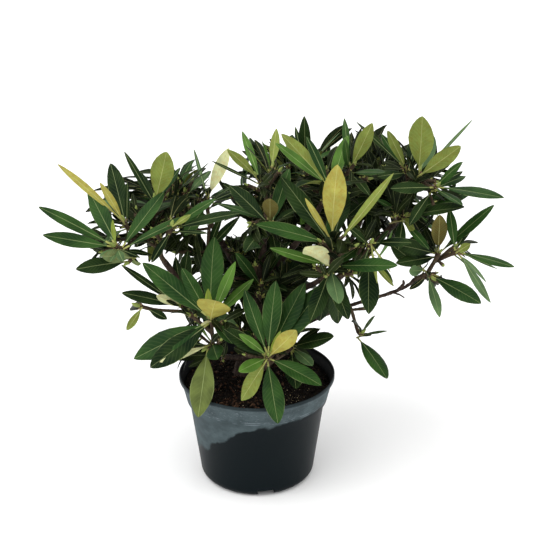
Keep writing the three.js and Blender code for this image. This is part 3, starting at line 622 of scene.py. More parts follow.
# More leading leaves: clock, towards, length, side and breadth.
MORE_LEADS = {
    0: [(90, 5, 41, "yellow", 0.8), (137, -50, 113, "grey", 0.5), (332, -9, 35, "deep", 0.9),
        (312, -26, 43, "deep", 0.9), (337, -32, 52, "deep", 0.9)],
    2: [(51, -19, 61, "mid", 0.9), (120, -12, 90, "deep", 0.45)],
    4: [(34, -5, 74, "mid", 0.9), (235, 12, 53, "deep", 0.9)],
    6: [(47, -10, 83, "deep", 0.9), (70, -17, 74, "deep", 0.8)],
    7: [(94, 12, 53, "yellow", 0.8), (165, 55, 25, "cream", 1.3)],
    8: [(84, -20, 81, "deep", 1), (97, -9, 77, "deep", 0.8)],
    9: [(161, 15, 45, "deep", 0.95), (117, 11, 53, "fresh", 0.4)],
    10: [(126, 25, 71, "fresh", 0.75), (67, 15, 53, "yellow", 0.7)],
    11: [(331, 26, 39, "grey", 1.3)],
    15: [(278, -16, 102, "deep", 1.5), (264, -17, 97, "deep", 1.3)],
    16: [(70, -40, 82, "deep", 1.1)],
    20: [(104, 12, 55, "fresh", 0.6)],
    21: [(114, -22, 80, "mid", 0.7)],
    22: [(55, 19, 89, "grey", 0.35)],
    23: [(56, -43, 57, "mid", 0.75)],
    24: [(129, -17, 64, "mid", 0.7)],
    25: [(15, -43, 58, "deep", 0.85), (230, 25, 61, "deep", 1)],
    26: [(45, 26, 86, "olive", 1)],
    27: [(356, 70, 41, "olive", 1.5)],
    28: [(343, 20, 60, "grey", 0.42), (59, 42, 39, "olive", 1.2), (315, -11, 48, "grey", 0.3)],
    29: [(46, 5, 108, "mid", 0.75)],
    30: [(139, 6, 73, "deep", 1.25)],
}
# Short shoots that stand beside the others: mass, hub, axis and leading leaves.
MORE_SHOOTS = (
    ("foliage_low_left", (-164, -44, 291), (150, 20), [
        (237, 15, 40, "olive", 1.3), (338, 20, 34, "deep", 1.4)]),
    ("foliage_centre", (158, -76, 401), (80, 45), [
        (12, 25, 60, "deep", 1.1), (280, 20, 56, "olive", 0.35), (310, 15, 48, "olive", 0.3),
        (245, 30, 50, "deep", 0.8), (130, 20, 52, "deep", 0.9)]),
    ("foliage_left", (-175, -60, 365), (200, 40), [
        (174, 27, 80, "deep", 1.15), (21, 68, 38, "pale", 1.2), (153, 41, 61, "pale", 1.3)]),
)
LEAD_ARCH = 0.015
SLENDER = 0.88  # how broad a leading leaf is against what is given
SHINGLED = -12  # degrees that it is turned round its heading, so that leaves overlap in steps
LIFTED = 4  # how far one that shows its underside comes forward
# How much of its shoot's axis, of upwards and of the front the face of a leading leaf takes,
# when it shows its upper side and when it shows its underside.
FACES_UPPER, FACES_UNDER = (0.6, 0.55, 0.7), (0.35, 0.2, -1)
# A leading leaf is hidden where points show within `reach` of it from EYE and aren't `behind`
# it. Its stretch up to `from` doesn't count. A leaf falls that hides more than `most` of one,
# or has more than `open` of itself before an open place. A leading blade, which counts from
# `blade_from`, rises by `fold` of its half width, and nothing comes within `apart` of it or
# `beside` it. The first, rough test looks `box` further.
HIDING = {"reach": 6.5, "from": 0.15, "behind": 4, "most": 0.06, "open": 0.05,
          "blade_from": 0.3, "apart": 2.4, "beside": 1.5, "fold": 0.3, "box": 8}
FRONT = unit(EYE - HEART)
UNDERSIDE_LOOKS = ("olive", "gold", "brown", "cream", "pale")
BOXES = {mass: [np.array(corner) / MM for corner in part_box(mass)] for mass in bough_of}


def seen(points):
    """Where points show from EYE, on the plane through the pot's middle."""
    share = (EYE[1] / (EYE[1] - points[:, 1]))[:, None]
    return (EYE + (points - EYE) * share)[:, [0, 2]]


def fills_opening(points):
    """The share of points that lie before or behind an open place."""
    apart = (seen(points)[:, None] - OPEN_PLACES[None, :, :2]) / OPEN_PLACES[None, :, 2:]
    return ((apart ** 2).sum(2) < 1).any(1).mean()


class Front:
    """The leading leaves as they show from EYE, which other leaves don't hide."""

    def __init__(self, leads):
        self.leads = leads
        whole = [leaf.samples() for leaf in leads]
        self.low_blades = np.array([points.min(0) for points in whole]) - HIDING["box"]
        self.high_blades = np.array([points.max(0) for points in whole]) + HIDING["box"]
        blades = [points[int(len(points) * HIDING["from"]):] for points in whole]
        self.places = [seen(points) for points in blades]
        self.depths = [np.linalg.norm(points - EYE, axis=1) for points in blades]
        self.lows = np.array([places.min(0) for places in self.places])
        self.highs = np.array([places.max(0) for places in self.places])

    def touched(self, points):
        """Whether the points come close to a leading leaf's folded blade, or cross it."""
        near = ((self.low_blades < points.max(0)).all(1)
                & (self.high_blades > points.min(0)).all(1))
        for index in np.flatnonzero(near):
            leaf = self.leads[index]
            offsets = points - leaf.root
            share = offsets @ leaf.heading / leaf.length
            half = (leaf.length * LEAF["width_ratio"] * 0.5 * leaf.breadth
                    * np.sin(np.pi * share.clip(0.01, 0.99)) + HIDING["beside"])
            part = np.abs(offsets @ leaf.across) / half
            rises = (offsets @ leaf.face - half * part * HIDING["fold"])[
                (share > HIDING["blade_from"]) & (share < 1) & (part < 1)]
            if len(rises) and (np.abs(rises).min() < HIDING["apart"]
                               or rises.min() < 0 < rises.max()):
                return True
        return False

    def hidden(self, points):
        """The largest share of a leading leaf that the points hide."""
        places, depths = seen(points), np.linalg.norm(points - EYE, axis=1)
        near = ((self.lows < places.max(0)).all(1) & (self.highs > places.min(0)).all(1))
        most = 0.0
        for index in np.flatnonzero(near):
            gaps = ((self.places[index][:, None] - places[None]) ** 2).sum(2)
            before = depths[None] < self.depths[index][:, None] + HIDING["behind"]
            most = max(most, ((gaps < HIDING["reach"] ** 2) & before).any(1).mean())
        return most


def fits_the_crown(points, mass):
    """Whether points lie within the mass's reach, and hide neither gap nor leading leaf."""
    low, high = BOXES[mass]
    return ((points > low).all() and (points < high).all() and fills_opening(points) == 0
            and not front.touched(points) and front.hidden(points) == 0)


def turn_to_front(leaf, axis):
    """Turns a leading leaf so that the side that it shows lies mostly to the front."""
    shares = FACES_UPPER
    if leaf.look in UNDERSIDE_LOOKS:
        shares = FACES_UNDER
        leaf.root = leaf.root + FRONT * LIFTED
    aim = axis * shares[0] + UP * shares[1] + FRONT * shares[2]
    face = square_to(leaf.heading, aim)
    turn = math.radians(SHINGLED)
    leaf.face = face * math.cos(turn) + np.cross(leaf.heading, face) * math.sin(turn)
    leaf.across = np.cross(leaf.face, leaf.heading)
    leaf.breadth *= SLENDER
    leaf.bowed = LEAD_ARCH


def lead_leaf(number, index, count, clock, towards, length, look, breadth):
    """A further leading leaf of a shoot, in its place among `count` along the whorl."""
    order = (index + 0.5) / count
    leaf = whorl_leaf(shoots[number], direction(clock, towards), length, order, is_lead=True)
    return dress(leaf, look, breadth)


# The leading leaves bend to where they lie now, and a few leaves before them have fallen.
for number, changes in BENT.items():
    for index, *form in changes:
        leaf = lead_leaf(number, index, len(shoots[number].leads), *form)
        leaf.spray = number
        old = leads_of[number, index]
        crown.leaves[crown.leaves.index(old)] = leads_of[number, index] = leaf
for mass, hub, aim, leads in MORE_SHOOTS:
    shoot = Shoot(mass, hub, direction(*aim), leaves=0, room=0, leads=leads)
    start = join_place(twigs_of[mass], shoot.hub)
    shoot.twig = twig_way(start, unit(shoot.hub - start), shoot.hub, shoot.axis)
    shoots.append(shoot)
    MORE_LEADS[len(shoots) - 1] = leads
for number, leads in MORE_LEADS.items():
    for index, form in enumerate(leads):
        leaf = lead_leaf(number, index, len(leads), *form)
        crown.add(leaf, leaf.samples(), number)
        leads_of[number, -1 - index] = leaf
for (number, _), leaf in leads_of.items():
    turn_to_front(leaf, shoots[number].axis)
    place = crown.leaves.index(leaf)
    points = crown.points[place] = leaf.samples()
    crown.lows[place], crown.highs[place] = points.min(0), points.max(0)
front = Front([leaf for leaf in crown.leaves if leaf.is_lead])
crown.shed(lambda leaf, points: not leaf.is_lead and (
    fills_opening(points) > HIDING["open"] or front.touched(points)
    or front.hidden(points) > HIDING["most"]))


def side_shoots(mass, seed):
    """Short shoots beside the mass's twigs, where its space has room for their whorls."""
    random = seeded(seed)
    found = []
    for twig in list(twigs_of[mass]):
        for index, share in enumerate(FINER["joins"]):
            start, onwards = along(twig, share), heading_of(twig, share)
            sideways = aside(onwards, GOLDEN_ANGLE * index + random() * 2 * math.pi)
            axis = unit(onwards * FINER["onwards"] + sideways * FINER["spread"]
                        + UP * FINER["rise"])
            hub = start + axis * mix(*FINER["length"], random())
            hubs = [shoot.hub for shoot in shoots + found]
            is_free = min(np.linalg.norm(hub - other) for other in hubs) > FINER["gap"]
            point = hub[None]
            if (is_free and clear_of_pot(point).all() and fits_the_crown(point, mass)
                    and depth_in_space(point, mass)[0] > FINER["border"]):
                shoot = Shoot(mass, hub, axis, FINER["leaves"], room=0)
                shoot.twig = twig_way(start, axis, hub, axis)
                found.append(shoot)
    return found


def older_leaves(shoot, seed):
    """Leaves of the years before, along the twig behind its whorl."""
    random = seeded(seed)
    wanted = []
    for index in range(OLDER["count"]):
        share = OLDER["from"] - OLDER["step"] * index
        stand, axis = along(shoot.twig, share), heading_of(shoot.twig, share)
        opening = math.radians(mix(*OLDER["opening"], random()))
        length = LEAF["length"] * mix(*OLDER["length"], random())
        heading = opened(axis, opening, GOLDEN_ANGLE * index + random() * OLDER["waver"])
        wanted.append([Leaf(stand, axis, heading, length * cut, shoot.mass)
                       for cut in SHORTER[:3]])
    return wanted


crown.room, crown.margin = FINER["room"], FINER["margin"]
crown.wood_room, crown.may_take = FINER["wood_room"], fits_the_crown
main_shoots = list(shoots)
finer_shoots = []
first_grown = len(crown.leaves)
for number, mass in enumerate(bough_of):
    for shoot in side_shoots(mass, SEEDS["side_shoots"] + number):
        wood.add(shoot.twig, lambda share: FINER["radius"], mass)
        finer_shoots.append(shoot)
for number, shoot in enumerate(finer_shoots):
    crown.grow(spiral_leaves(shoot, SEEDS["finer"] + number, shoot.leaves), FINER_SPRAYS + number)
for number, shoot in enumerate(main_shoots):
    crown.grow(spiral_leaves(shoot, SEEDS["second"] + number, FINER["second"]), number)
    crown.grow(older_leaves(shoot, SEEDS["older"] + number), number)
for number, shoot in enumerate(main_shoots + finer_shoots):
    crown.grow(spiral_leaves(shoot, SEEDS["third"] + number, FINER["third"], FINER["third_size"]),
               FINER_SPRAYS + number)
for leaf in crown.leaves[first_grown:]:
    leaf.breadth = FINER["breadth"]

# ---- meshes and objects --------------------------------------------------------------------


def placed(name, data):
    """An object for finished data, in the scene."""
    made = bpy.data.objects.new(name, data)
    bpy.context.scene.collection.objects.link(made)
    return made


def add_piece(name, mesh, materials=()):
    for material in materials:
        mesh.materials.append(material)
    return placed(name, mesh)


def smoothen(mesh):
    mesh.polygons.foreach_set("use_smooth", [True] * len(mesh.polygons))


def mesh_from(name, points, faces, slots):
    """A smooth mesh of points in millimetres, and of faces with the slots of their materials."""
    mesh = bpy.data.meshes.new(name)
    mesh.from_pydata(np.array(points) * MM, [], faces)
    mesh.polygons.foreach_set("material_index", slots)
    smoothen(mesh)
    return mesh


def as_drawn(drawn):
    """The mesh of an object with its modifiers. The object is removed."""
    mesh = bpy.data.meshes.new_from_object(
        drawn.evaluated_get(bpy.context.evaluated_depsgraph_get()))
    bpy.data.objects.remove(drawn)
    return mesh


def mesh_of(made, name):
    """The mesh of a bmesh, which is freed."""
    mesh = bpy.data.meshes.new(name)
    made.to_mesh(mesh)
    made.free()
    return mesh


def shape_of(made):
    """The points and faces of a bmesh, which is freed."""
    points = np.array([vert.co for vert in made.verts])
    faces = [[vert.index for vert in face.verts] for face in made.faces]
    made.free()
    return points, faces


# ---- leaf blades ---------------------------------------------------------------------------

STALK = 0.13  # the share of a leaf's length that is its stalk
LEAD_STATIONS = (0, 0.08, STALK, 0.18, 0.26, 0.36, 0.48, 0.6, 0.72, 0.83, 0.92, 0.975, 1)
PLAIN_STATIONS = (0, STALK, 0.2, 0.33, 0.5, 0.67, 0.82, 0.94, 1)
# Round a blade's section: place across it, whether it lies on the rib, and on which side.
SECTION = ((-1, 0, 0), (-0.55, 0, 1), (-1, 1, 1), (1, 1, 1), (0.55, 0, 1),
           (1, 0, 0), (0.55, 0, -1), (1, 1, -1), (-1, 1, -1), (-0.55, 0, -1))
RIGHT_MARGIN = 5  # its place in the section, from which the underside begins
RIB_SHARE = 0.06  # how far aside a rib's places lie in the UV, against the margins' 1
UPPER, UNDER, UPPER_RIB, UNDER_RIB, LEAF_STALK = range(5)
SECTION_SLOTS = (UPPER, UPPER, UPPER_RIB, UPPER, UPPER, UNDER, UNDER, UNDER_RIB, UNDER, UNDER)
# What each blade draws by lot: the least, the most, and how much of it a leading leaf keeps.
VARIED = {
    "fold": (14, 32, 0.7), "curl": (0.12, 0.4, 1), "sway": (-0.05, 0.05, 1),
    "twist": (-0.22, 0.22, 0.6), "ripple": (0, 0.07, 0.4), "phase": (0, 6, 1),
    "fullness": (0.64, 0.84, 1), "breadth": (0.9, 1.04, 1),
}
# What all blades share. A pair runs from the stalk to the tip, or from stalk to blade.
BLADE = {
    "outline": 1.16, "stalk": 1.35, "point": 0.5, "point_from": 0.9, "opening": 6,
    "level_at": 0.3, "rib": (0.6, 0.22), "rib_most": 0.4, "skin": (1.5, 0.42),
    "rib_depth": (1.5, 0.5), "stalk_depth": 1.9, "groove": 0.3, "waves": 13, "sides_apart": 2,
}


def stations_of(leaf):
    return LEAD_STATIONS if leaf.is_lead else PLAIN_STATIONS


def blade(leaf):
    """The points round each station of a leaf, as an array by station, place and axis."""
    random = seeded(leaf.seed)
    fold, curl, sway, twist, ripple, phase, fullness, breadth = [
        mix(least, most, random()) * (calm if leaf.is_lead else 1)
        for least, most, calm in VARIED.values()]
    slope = math.tan(math.radians(fold))
    wide = leaf.length * LEAF["width_ratio"] * 0.5 * leaf.breadth * breadth
    length, bow, across = leaf.length * leaf.cut, leaf.face, leaf.across
    rows = []
    for share in np.array(stations_of(leaf)):
        grown = max(share - STALK, 0) / (1 - STALK)
        outline = math.sin(math.pi * grown ** BLADE["outline"]) ** fullness if 0 < grown < 1 else 0
        half = max(wide * outline, BLADE["point" if share > BLADE["point_from"] else "stalk"])
        is_blade = min(grown * BLADE["opening"], 1)
        middle = (leaf.root + leaf.heading * length * share
                  + bow * length * leaf.bowed * 4 * share * (1 - share)
                  + across * length * sway * share ** 2)
        onwards = unit(leaf.heading + bow * leaf.bowed * 4 * (1 - 2 * share)
                       + across * sway * 2 * share)
        level = square_to(onwards, across)
        turned = twist * (share - BLADE["level_at"])
        upright = np.cross(onwards, level)
        level, upright = (level * math.cos(turned) + upright * math.sin(turned),
                          upright * math.cos(turned) - level * math.sin(turned))
        rib = min(mix(*BLADE["rib"], grown), half * BLADE["rib_most"])
        skin = mix(*BLADE["skin"], is_blade)
        rib_depth = mix(BLADE["stalk_depth"], mix(*BLADE["rib_depth"], grown), is_blade)
        for place, is_rib, side in SECTION:
            sideways = place * (rib if is_rib else half)
            part = abs(sideways) / half
            wave = math.sin(phase + share * BLADE["waves"] + (place > 0) * BLADE["sides_apart"])
            lift = half * (slope * part - curl * part ** 3) * is_blade
            lift += half * ripple * part ** 2 * wave
            if is_rib:
                lift -= BLADE["groove"] if side > 0 else rib_depth
            elif side <= 0:
                lift -= skin if side < 0 else skin / 2
            rows.append(middle + level * sideways + upright * lift)
    return np.array(rows).reshape(-1, len(SECTION), 3)


def joined_leaves(name, leaves, materials):
    """One mesh of leaves, with its share across and along each as UV."""
    points, faces, slots, spans, edges = [], [], [], [], []
    ring = len(SECTION)
    for leaf in leaves:
        rows, stations = blade(leaf), stations_of(leaf)
        first = len(points)
        tip = first + (len(rows) - 1) * ring
        points.extend(rows[:-1].reshape(-1, 3))
        points.append(rows[-1].mean(0))
        for share in stations[:-1]:
            for place, (across, is_rib, _) in enumerate(SECTION):
                spans.append(((across * (RIB_SHARE if is_rib else 1) + 1) / 2, share))
                edges.append((place == 0) + 2 * (place == RIGHT_MARGIN) if share > STALK else 0)
        spans.append((0.5, 1.0))
        edges.append(3)
        for row, share in enumerate(stations[1:-1]):
            for place in range(ring):
                a = first + row * ring + place
                b = first + row * ring + (place + 1) % ring
                # Both sides split along the same diagonals, and so they don't cross.
                corners = (a, b, b + ring, a + ring)
                faces.append(corners if place < RIGHT_MARGIN else (*corners[1:], a))
                slots.append(LEAF_STALK if share <= STALK else SECTION_SLOTS[place])
        for place in range(ring):
            faces.append((tip - ring + place, tip - ring + (place + 1) % ring, tip))
            slots.append(SECTION_SLOTS[place])
        faces.append(tuple(range(first + ring - 1, first - 1, -1)))
        slots.append(LEAF_STALK)
    mesh = mesh_from(name, points, faces, slots)
    held = np.empty(len(mesh.loops), int)
    mesh.loops.foreach_get("vertex_index", held)
    layer = mesh.uv_layers.new(name="span")
    layer.uv.foreach_set("vector", np.array(spans)[held].ravel())
    ends = np.empty(len(mesh.edges) * 2, int)
    mesh.edges.foreach_get("vertices", ends)
    marks = np.array(edges)[ends.reshape(-1, 2)]
    is_margin = (marks & np.roll(marks, 1, 1)).any(1)
    mesh.attributes.new("sharp_edge", "BOOLEAN", "EDGE").data.foreach_set("value", is_margin)
    return add_piece(name, mesh, materials)


# ---- materials -----------------------------------------------------------------------------


class Finish:
    """A material under its name, and short ways to make and join its nodes."""

    def __init__(self, name, colour, roughness, specular):
        self.material = bpy.data.materials.new(name)
        self.material.use_nodes = True
        self.tree = self.material.node_tree
        self.shader = self.tree.nodes["Principled BSDF"]
        self.set(self.shader, {"Base Color": (*colour, 1), "Roughness": roughness,
                               "Specular IOR Level": specular})

    def set(self, node, values):
        for socket, value in values.items():
            if isinstance(value, bpy.types.NodeSocket):
                self.tree.links.new(value, node.inputs[socket])
            else:
                node.inputs[socket].default_value = value
        return node

    def node(self, kind, values=None, **settings):
        made = self.tree.nodes.new(kind)
        for setting, value in settings.items():
            setattr(made, setting, value)
        return self.set(made, values or {})

    def place(self, kind="Object"):
        return self.node("ShaderNodeTexCoord").outputs[kind]

    def noise(self, scale, detail, stretch=(1, 1, 1), rough=0.5):
        mapped = self.node("ShaderNodeMapping", {"Vector": self.place(), "Scale": stretch})
        return self.node("ShaderNodeTexNoise", {
            "Vector": mapped.outputs[0], "Scale": scale, "Detail": detail,
            "Roughness": rough}).outputs["Fac"]

    def ramp(self, factor, low, high, to=(0.0, 1.0)):
        """The factor's stretch from low to high, spread over the range to."""
        return self.node("ShaderNodeMapRange", {
            "Value": factor, "From Min": low, "From Max": high, "To Min": to[0],
            "To Max": to[1]}, interpolation_type="SMOOTHSTEP").outputs["Result"]

    def mixed(self, factor, one, other):
        """Two colours mixed by a factor."""
        colours = [colour if isinstance(colour, bpy.types.NodeSocket) else (*colour, 1)
                   for colour in (one, other)]
        return self.node("ShaderNodeMix", {0: factor, 6: colours[0], 7: colours[1]},
                         data_type="RGBA").outputs[2]

    def mottled(self, one, other, scale, detail, low, high):
        """One colour clouded by the other, where noise rises from low to high."""
        return self.mixed(self.ramp(self.noise(scale, detail), low, high), one, other)

    def math(self, operation, one, other=0.0):
        return self.node("ShaderNodeMath", {0: one, 1: other}, operation=operation).outputs[0]

    def times(self, one, other):
        return self.math("MULTIPLY", one, other)

    def less(self, one, other):
        return self.math("SUBTRACT", one, other)

    def off(self, one, other):
        """How far apart two values are."""
        return self.math("ABSOLUTE", self.less(one, other))

    def blade_span(self):
        """How far beside the rib and how far along the blade a point lies, from its UV."""
        span = self.node("ShaderNodeSeparateXYZ", {"Vector": self.place("UV")})
        return self.off(span.outputs[0], 0.5), span.outputs[1]

    def bump(self, height, strength, relief):
        """Relief in millimetres."""
        made = self.node("ShaderNodeBump", {"Height": height, "Strength": strength,
                                            "Distance": relief * MM})
        self.set(self.shader, {"Normal": made.outputs[0]})


def shaded(colour, share):
    return tuple(channel * share for channel in colour)


def blended(one, other, share):
    return tuple(mix(a, b, share) for a, b in zip(one, other))


# The first tints, near black, are painted shade for the leaves grown inside the crown, most of them
# older leaves.
UPPER_TINTS = {
    # the deep tint: a dark green, made darker still as painted shade
    "older": (0.0016, 0.0056, 0.0019), "deep": (0.0045, 0.0175, 0.005),
    "mid": (0.0118, 0.046, 0.008), "fresh": (0.062, 0.145, 0.020),
    "grey": (0.065, 0.120, 0.048), "yellow": (0.20, 0.26, 0.035), "worn": (0.105, 0.135, 0.034),
}
# The first is the near-black painted shade of the leaves inside the crown.
UNDER_TINTS = {
    "older": (0.010, 0.020, 0.0065), "olive": (0.19, 0.24, 0.05), "gold": (0.36, 0.335, 0.072),
    "brown": (0.12, 0.105, 0.028), "cream": (0.64, 0.67, 0.36), "pale": (0.13, 0.18, 0.07),
}
RIB_TINT = (0.42, 0.50, 0.20)
UNDER_RIB_TINT = (0.50, 0.48, 0.20)
STALK_TINT = (0.36, 0.37, 0.11)
SUNLIT_TINT = (0.16, 0.21, 0.03)
DULL_BELOW = 0.03  # tints with less green than this shine less
# The side veins: how far they slant, how close they lie, and from where a wave counts as one.
VEINS = {"slant": 0.34, "waves": 95.0, "from": 0.35}
MARGIN = {"from": 0.465, "to": 0.495}  # how far from the middle of the UV a margin lies
# Each kind of leaf: the tint of its upper side and of its underside. The first kind is painted
# shade on both sides.
KINDS = {
    "older": ("older", "older"), "deep": ("deep", "olive"), "mid": ("mid", "olive"),
    "fresh": ("fresh", "pale"), "grey": ("grey", "pale"), "yellow": ("yellow", "pale"),
    "gold": ("mid", "gold"), "cream": ("fresh", "cream"), "brown": ("deep", "brown"),
    "worn": ("worn", "pale"), "back_deep": ("deep", "older"), "back_mid": ("mid", "older"),
}
# The back's kinds keep an upper tint, but their undersides take the near-black tint of painted
# shade.
BACK_KINDS = {"deep": "back_deep", "grey": "back_deep"}


def veins(finish):
    """The side veins' pattern over a blade, which slant from the rib to the margin."""
    beside, onwards = finish.blade_span()
    slant = finish.less(onwards, finish.times(beside, VEINS["slant"]))
    return finish.ramp(finish.math("SINE", finish.times(slant, VEINS["waves"])), VEINS["from"], 1.0)


def margins(finish):
    """Where a blade's thin pale margin lies, patchy along it."""
    patches = finish.ramp(finish.noise(40, 2), 0.45, 0.6)
    return finish.times(finish.ramp(finish.blade_span()[0], MARGIN["from"], MARGIN["to"]), patches)


def upper_finish(name, colour):
    finish = Finish(name, colour, 0.45, 0.05 if colour[1] < DULL_BELOW else 0.1)
    lit = blended(shaded(colour, 1.3), SUNLIT_TINT, 0.07)
    base = finish.mottled(shaded(colour, 0.66), lit, scale=26, detail=3, low=0.32, high=0.68)
    lines = veins(finish)
    base = finish.mixed(finish.times(lines, 0.08), base, blended(colour, RIB_TINT, 0.35))
    base = finish.mixed(margins(finish), base, blended(colour, RIB_TINT, 0.4))
    rough = finish.ramp(finish.noise(60, 3), 0.3, 0.7, (0.4, 0.56))
    finish.set(finish.shader, {"Base Color": base, "Roughness": rough})
    finish.bump(finish.less(finish.times(finish.noise(900, 3), 0.5), lines), 0.2, 0.5)
    return finish.material


def under_finish(name, colour):
    finish = Finish(name, colour, 0.66, 0.1)
    base = finish.mottled(shaded(colour, 0.8), shaded(colour, 1.12), scale=55, detail=4,
                          low=0.3, high=0.7)
    felt = finish.ramp(finish.noise(170, 6, rough=0.75), 0.46, 0.62)
    felted = (colour[0] * 0.92, colour[1] * 0.7, colour[2] * 0.55)
    base = finish.mixed(finish.times(felt, 0.6), base, felted)
    lines = veins(finish)
    base = finish.mixed(finish.times(lines, 0.12), base, blended(colour, RIB_TINT, 0.5))
    rough = finish.ramp(finish.noise(80, 3), 0.3, 0.7, (0.58, 0.74))
    finish.set(finish.shader, {"Base Color": base, "Roughness": rough})
    finish.bump(finish.math("ADD", finish.times(finish.noise(1400, 2), 0.6), lines), 0.3, 0.4)
    return finish.material


def rib_finish(name, colour):
    finish = Finish(name, colour, 0.5, 0.15)
    base = finish.mottled(shaded(colour, 0.82), shaded(colour, 1.15), scale=70, detail=3,
                          low=0.3, high=0.7)
    finish.set(finish.shader, {"Base Color": base})
    finish.bump(finish.noise(700, 3), 0.2, 0.4)
    return finish.material


uppers = {name: upper_finish(f"leaf_upper_{name}", tint) for name, tint in UPPER_TINTS.items()}
unders = {name: under_finish(f"leaf_under_{name}", tint) for name, tint in UNDER_TINTS.items()}
# The rib of the painted shade's tint takes little of the pale rib tint, and so stays dark.
upper_ribs = {
    name: rib_finish(f"leaf_upper_rib_{name}",
                     blended(tint, RIB_TINT, 0.12 if name == "older" else 0.34))
    for name, tint in UPPER_TINTS.items()}
under_ribs = {name: rib_finish(f"leaf_under_rib_{name}", blended(tint, UNDER_RIB_TINT, 0.45))
              for name, tint in UNDER_TINTS.items()}
leaf_stalk = rib_finish("leaf_stalk", STALK_TINT)

# ---- the leaves' pieces --------------------------------------------------------------------

# The leaves at the back that head away from the front show it their undersides, which take the
# near-black tint of painted shade.
BACK_FROM = -45  # how far before the heart the leaves' back begins
# Each kind's share of the sprays, with the shares before it added.
SPRAY_KINDS = (("deep", 0.5), ("mid", 0.82), ("fresh", 0.9), ("grey", 1.01))
sprays = {}
for number, leaf in enumerate(crown.leaves):
    leaf.seed = SEEDS["blade"] + number
    if leaf.spray not in sprays:
        draw = seeded(SEEDS["spray"] + leaf.spray)()
        sprays[leaf.spray] = next(kind for kind, limit in SPRAY_KINDS if draw < limit)
    # The leaves grown after the first ones, inside the crown, take the near-black kind of painted
    # shade.
    leaf.kind = leaf.look or ("older" if number >= first_grown else sprays[leaf.spray])
    # Such a back leaf keeps its upper tint, and its underside is painted shade.
    if not leaf.look and (leaf.root - HEART) @ FRONT < BACK_FROM and leaf.heading @ FRONT < 0:
        leaf.kind = BACK_KINDS.get(sprays[leaf.spray], "back_mid")
    leaf.kind = {"olive": "mid", "pale": "fresh"}.get(leaf.kind, leaf.kind)
foliage = [
    joined_leaves(f"leaves_{kind}", [leaf for leaf in crown.leaves if leaf.kind == kind], (
        uppers[upper], unders[under], upper_ribs[upper], under_ribs[under], leaf_stalk))
    for kind, (upper, under) in KINDS.items()]

# ---- twigs and buds ------------------------------------------------------------------------


def tubes(name, ways, materials, roundness=2):
    """Round limbs as one mesh. Each way is its points, their radii and its slot."""
    curve = bpy.data.curves.new(name, "CURVE")
    curve.dimensions = "3D"
    curve.bevel_depth = MM
    curve.bevel_resolution = roundness
    curve.use_fill_caps = True
    for points, radii, slot in ways:
        spline = curve.splines.new("POLY")
        spline.points.add(len(points) - 1)
        for place, point, radius in zip(spline.points, points, radii):
            place.co = (*(np.array(point) * MM), 1)
            place.radius = radius
        spline.material_index = slot
    for material in materials:
        curve.materials.append(material)
    mesh = as_drawn(placed(name + "_ways", curve))
    bpy.data.curves.remove(curve)
    mesh.name = name
    smoothen(mesh)
    return mesh


def bark_finish(name, colours, furrow, relief):
    """Bark in three colours, with furrows `furrow` apart and `relief` deep."""
    finish = Finish(name, colours[0], 0.85, 0.25)
    patch = finish.ramp(finish.noise(90, 4), 0.4, 0.62)
    base = finish.mottled(finish.mixed(patch, *colours[:2]), colours[2], scale=260, detail=5,
                          low=0.56, high=0.7)
    rough = finish.ramp(patch, 0, 1, (0.7, 0.92))
    finish.set(finish.shader, {"Base Color": base, "Roughness": rough})
    ridge = finish.noise(1 / (furrow * MM), 5, (1, 1, 0.3), rough=0.62)
    finish.bump(ridge, 0.7, relief)
    return finish.material


BARK = bark_finish("bark", ((0.044, 0.026, 0.018), (0.021, 0.013, 0.010), (0.090, 0.066, 0.048)),
                   3.4, 0.9)
OLD_TWIG = bark_finish("twig_bark", ((0.066, 0.044, 0.024), (0.036, 0.023, 0.014),
                                     (0.105, 0.088, 0.048)), 2.2, 0.5)
YOUNG_TWIG = bark_finish("young_twig", ((0.19, 0.20, 0.06), (0.12, 0.11, 0.04),
                                        (0.25, 0.22, 0.11)), 1.8, 0.25)
SCALE = bark_finish("bud_scale", ((0.30, 0.20, 0.10), (0.20, 0.12, 0.065),
                                  (0.40, 0.32, 0.18)), 1.5, 0.2)
GOLDEN_BUD = 13  # the shoot whose bud has turned golden
# A drawn twig: how far apart its stations and leaf scars are and how high the scars stand,
# and how much it swells, how far behind its tip and over what length.
TWIG_FORM = {"station": 1.6, "fewest": 8, "scar_gap": 6.5, "scar": 0.28,
             "swelling": 0.9, "swollen_at": 7, "swollen_over": 9.0}


def twig_ways(shoot, seed, thick, thin, young_from):
    """A twig's older and younger stretch, ringed by the scars of fallen leaves."""
    random = seeded(seed)
    length = length_of(shoot.twig)
    count = max(int(length / TWIG_FORM["station"]), TWIG_FORM["fewest"])
    shares = np.arange(count + 1) / count
    points = np.array([along(shoot.twig, share) for share in shares])
    behind = (1 - shares) * length
    swollen = TWIG_FORM["swelling"] * np.exp(
        -((behind - TWIG_FORM["swollen_at"]) / TWIG_FORM["swollen_over"]) ** 2)
    turns = np.sin(behind / TWIG_FORM["scar_gap"] * 2 * math.pi + random() * 6)
    radii = mix(thick, thin, shares) + swollen + TWIG_FORM["scar"] * np.clip(turns, 0, 1) ** 3
    split = min(max(int(count * young_from), 2), count - 2)
    return [(points[:split + 1], radii[:split + 1], 0), (points[split:], radii[split:], 1)]


ways = []
for number, shoot in enumerate(main_shoots):
    is_stem = shoot.twig is twigs_of[shoot.mass][0] and len(twigs_of[shoot.mass]) > 1
    ways += twig_ways(shoot, SEEDS["main_twig"] + number, thick=3.7 if is_stem else 2.7,
                      thin=2.1, young_from=0.62)
for number, shoot in enumerate(finer_shoots):
    ways += twig_ways(shoot, SEEDS["finer_twig"] + number, thick=2.1, thin=1.7, young_from=0.25)
twigs = add_piece("twigs", tubes("twigs", ways, (OLD_TWIG, YOUNG_TWIG)))


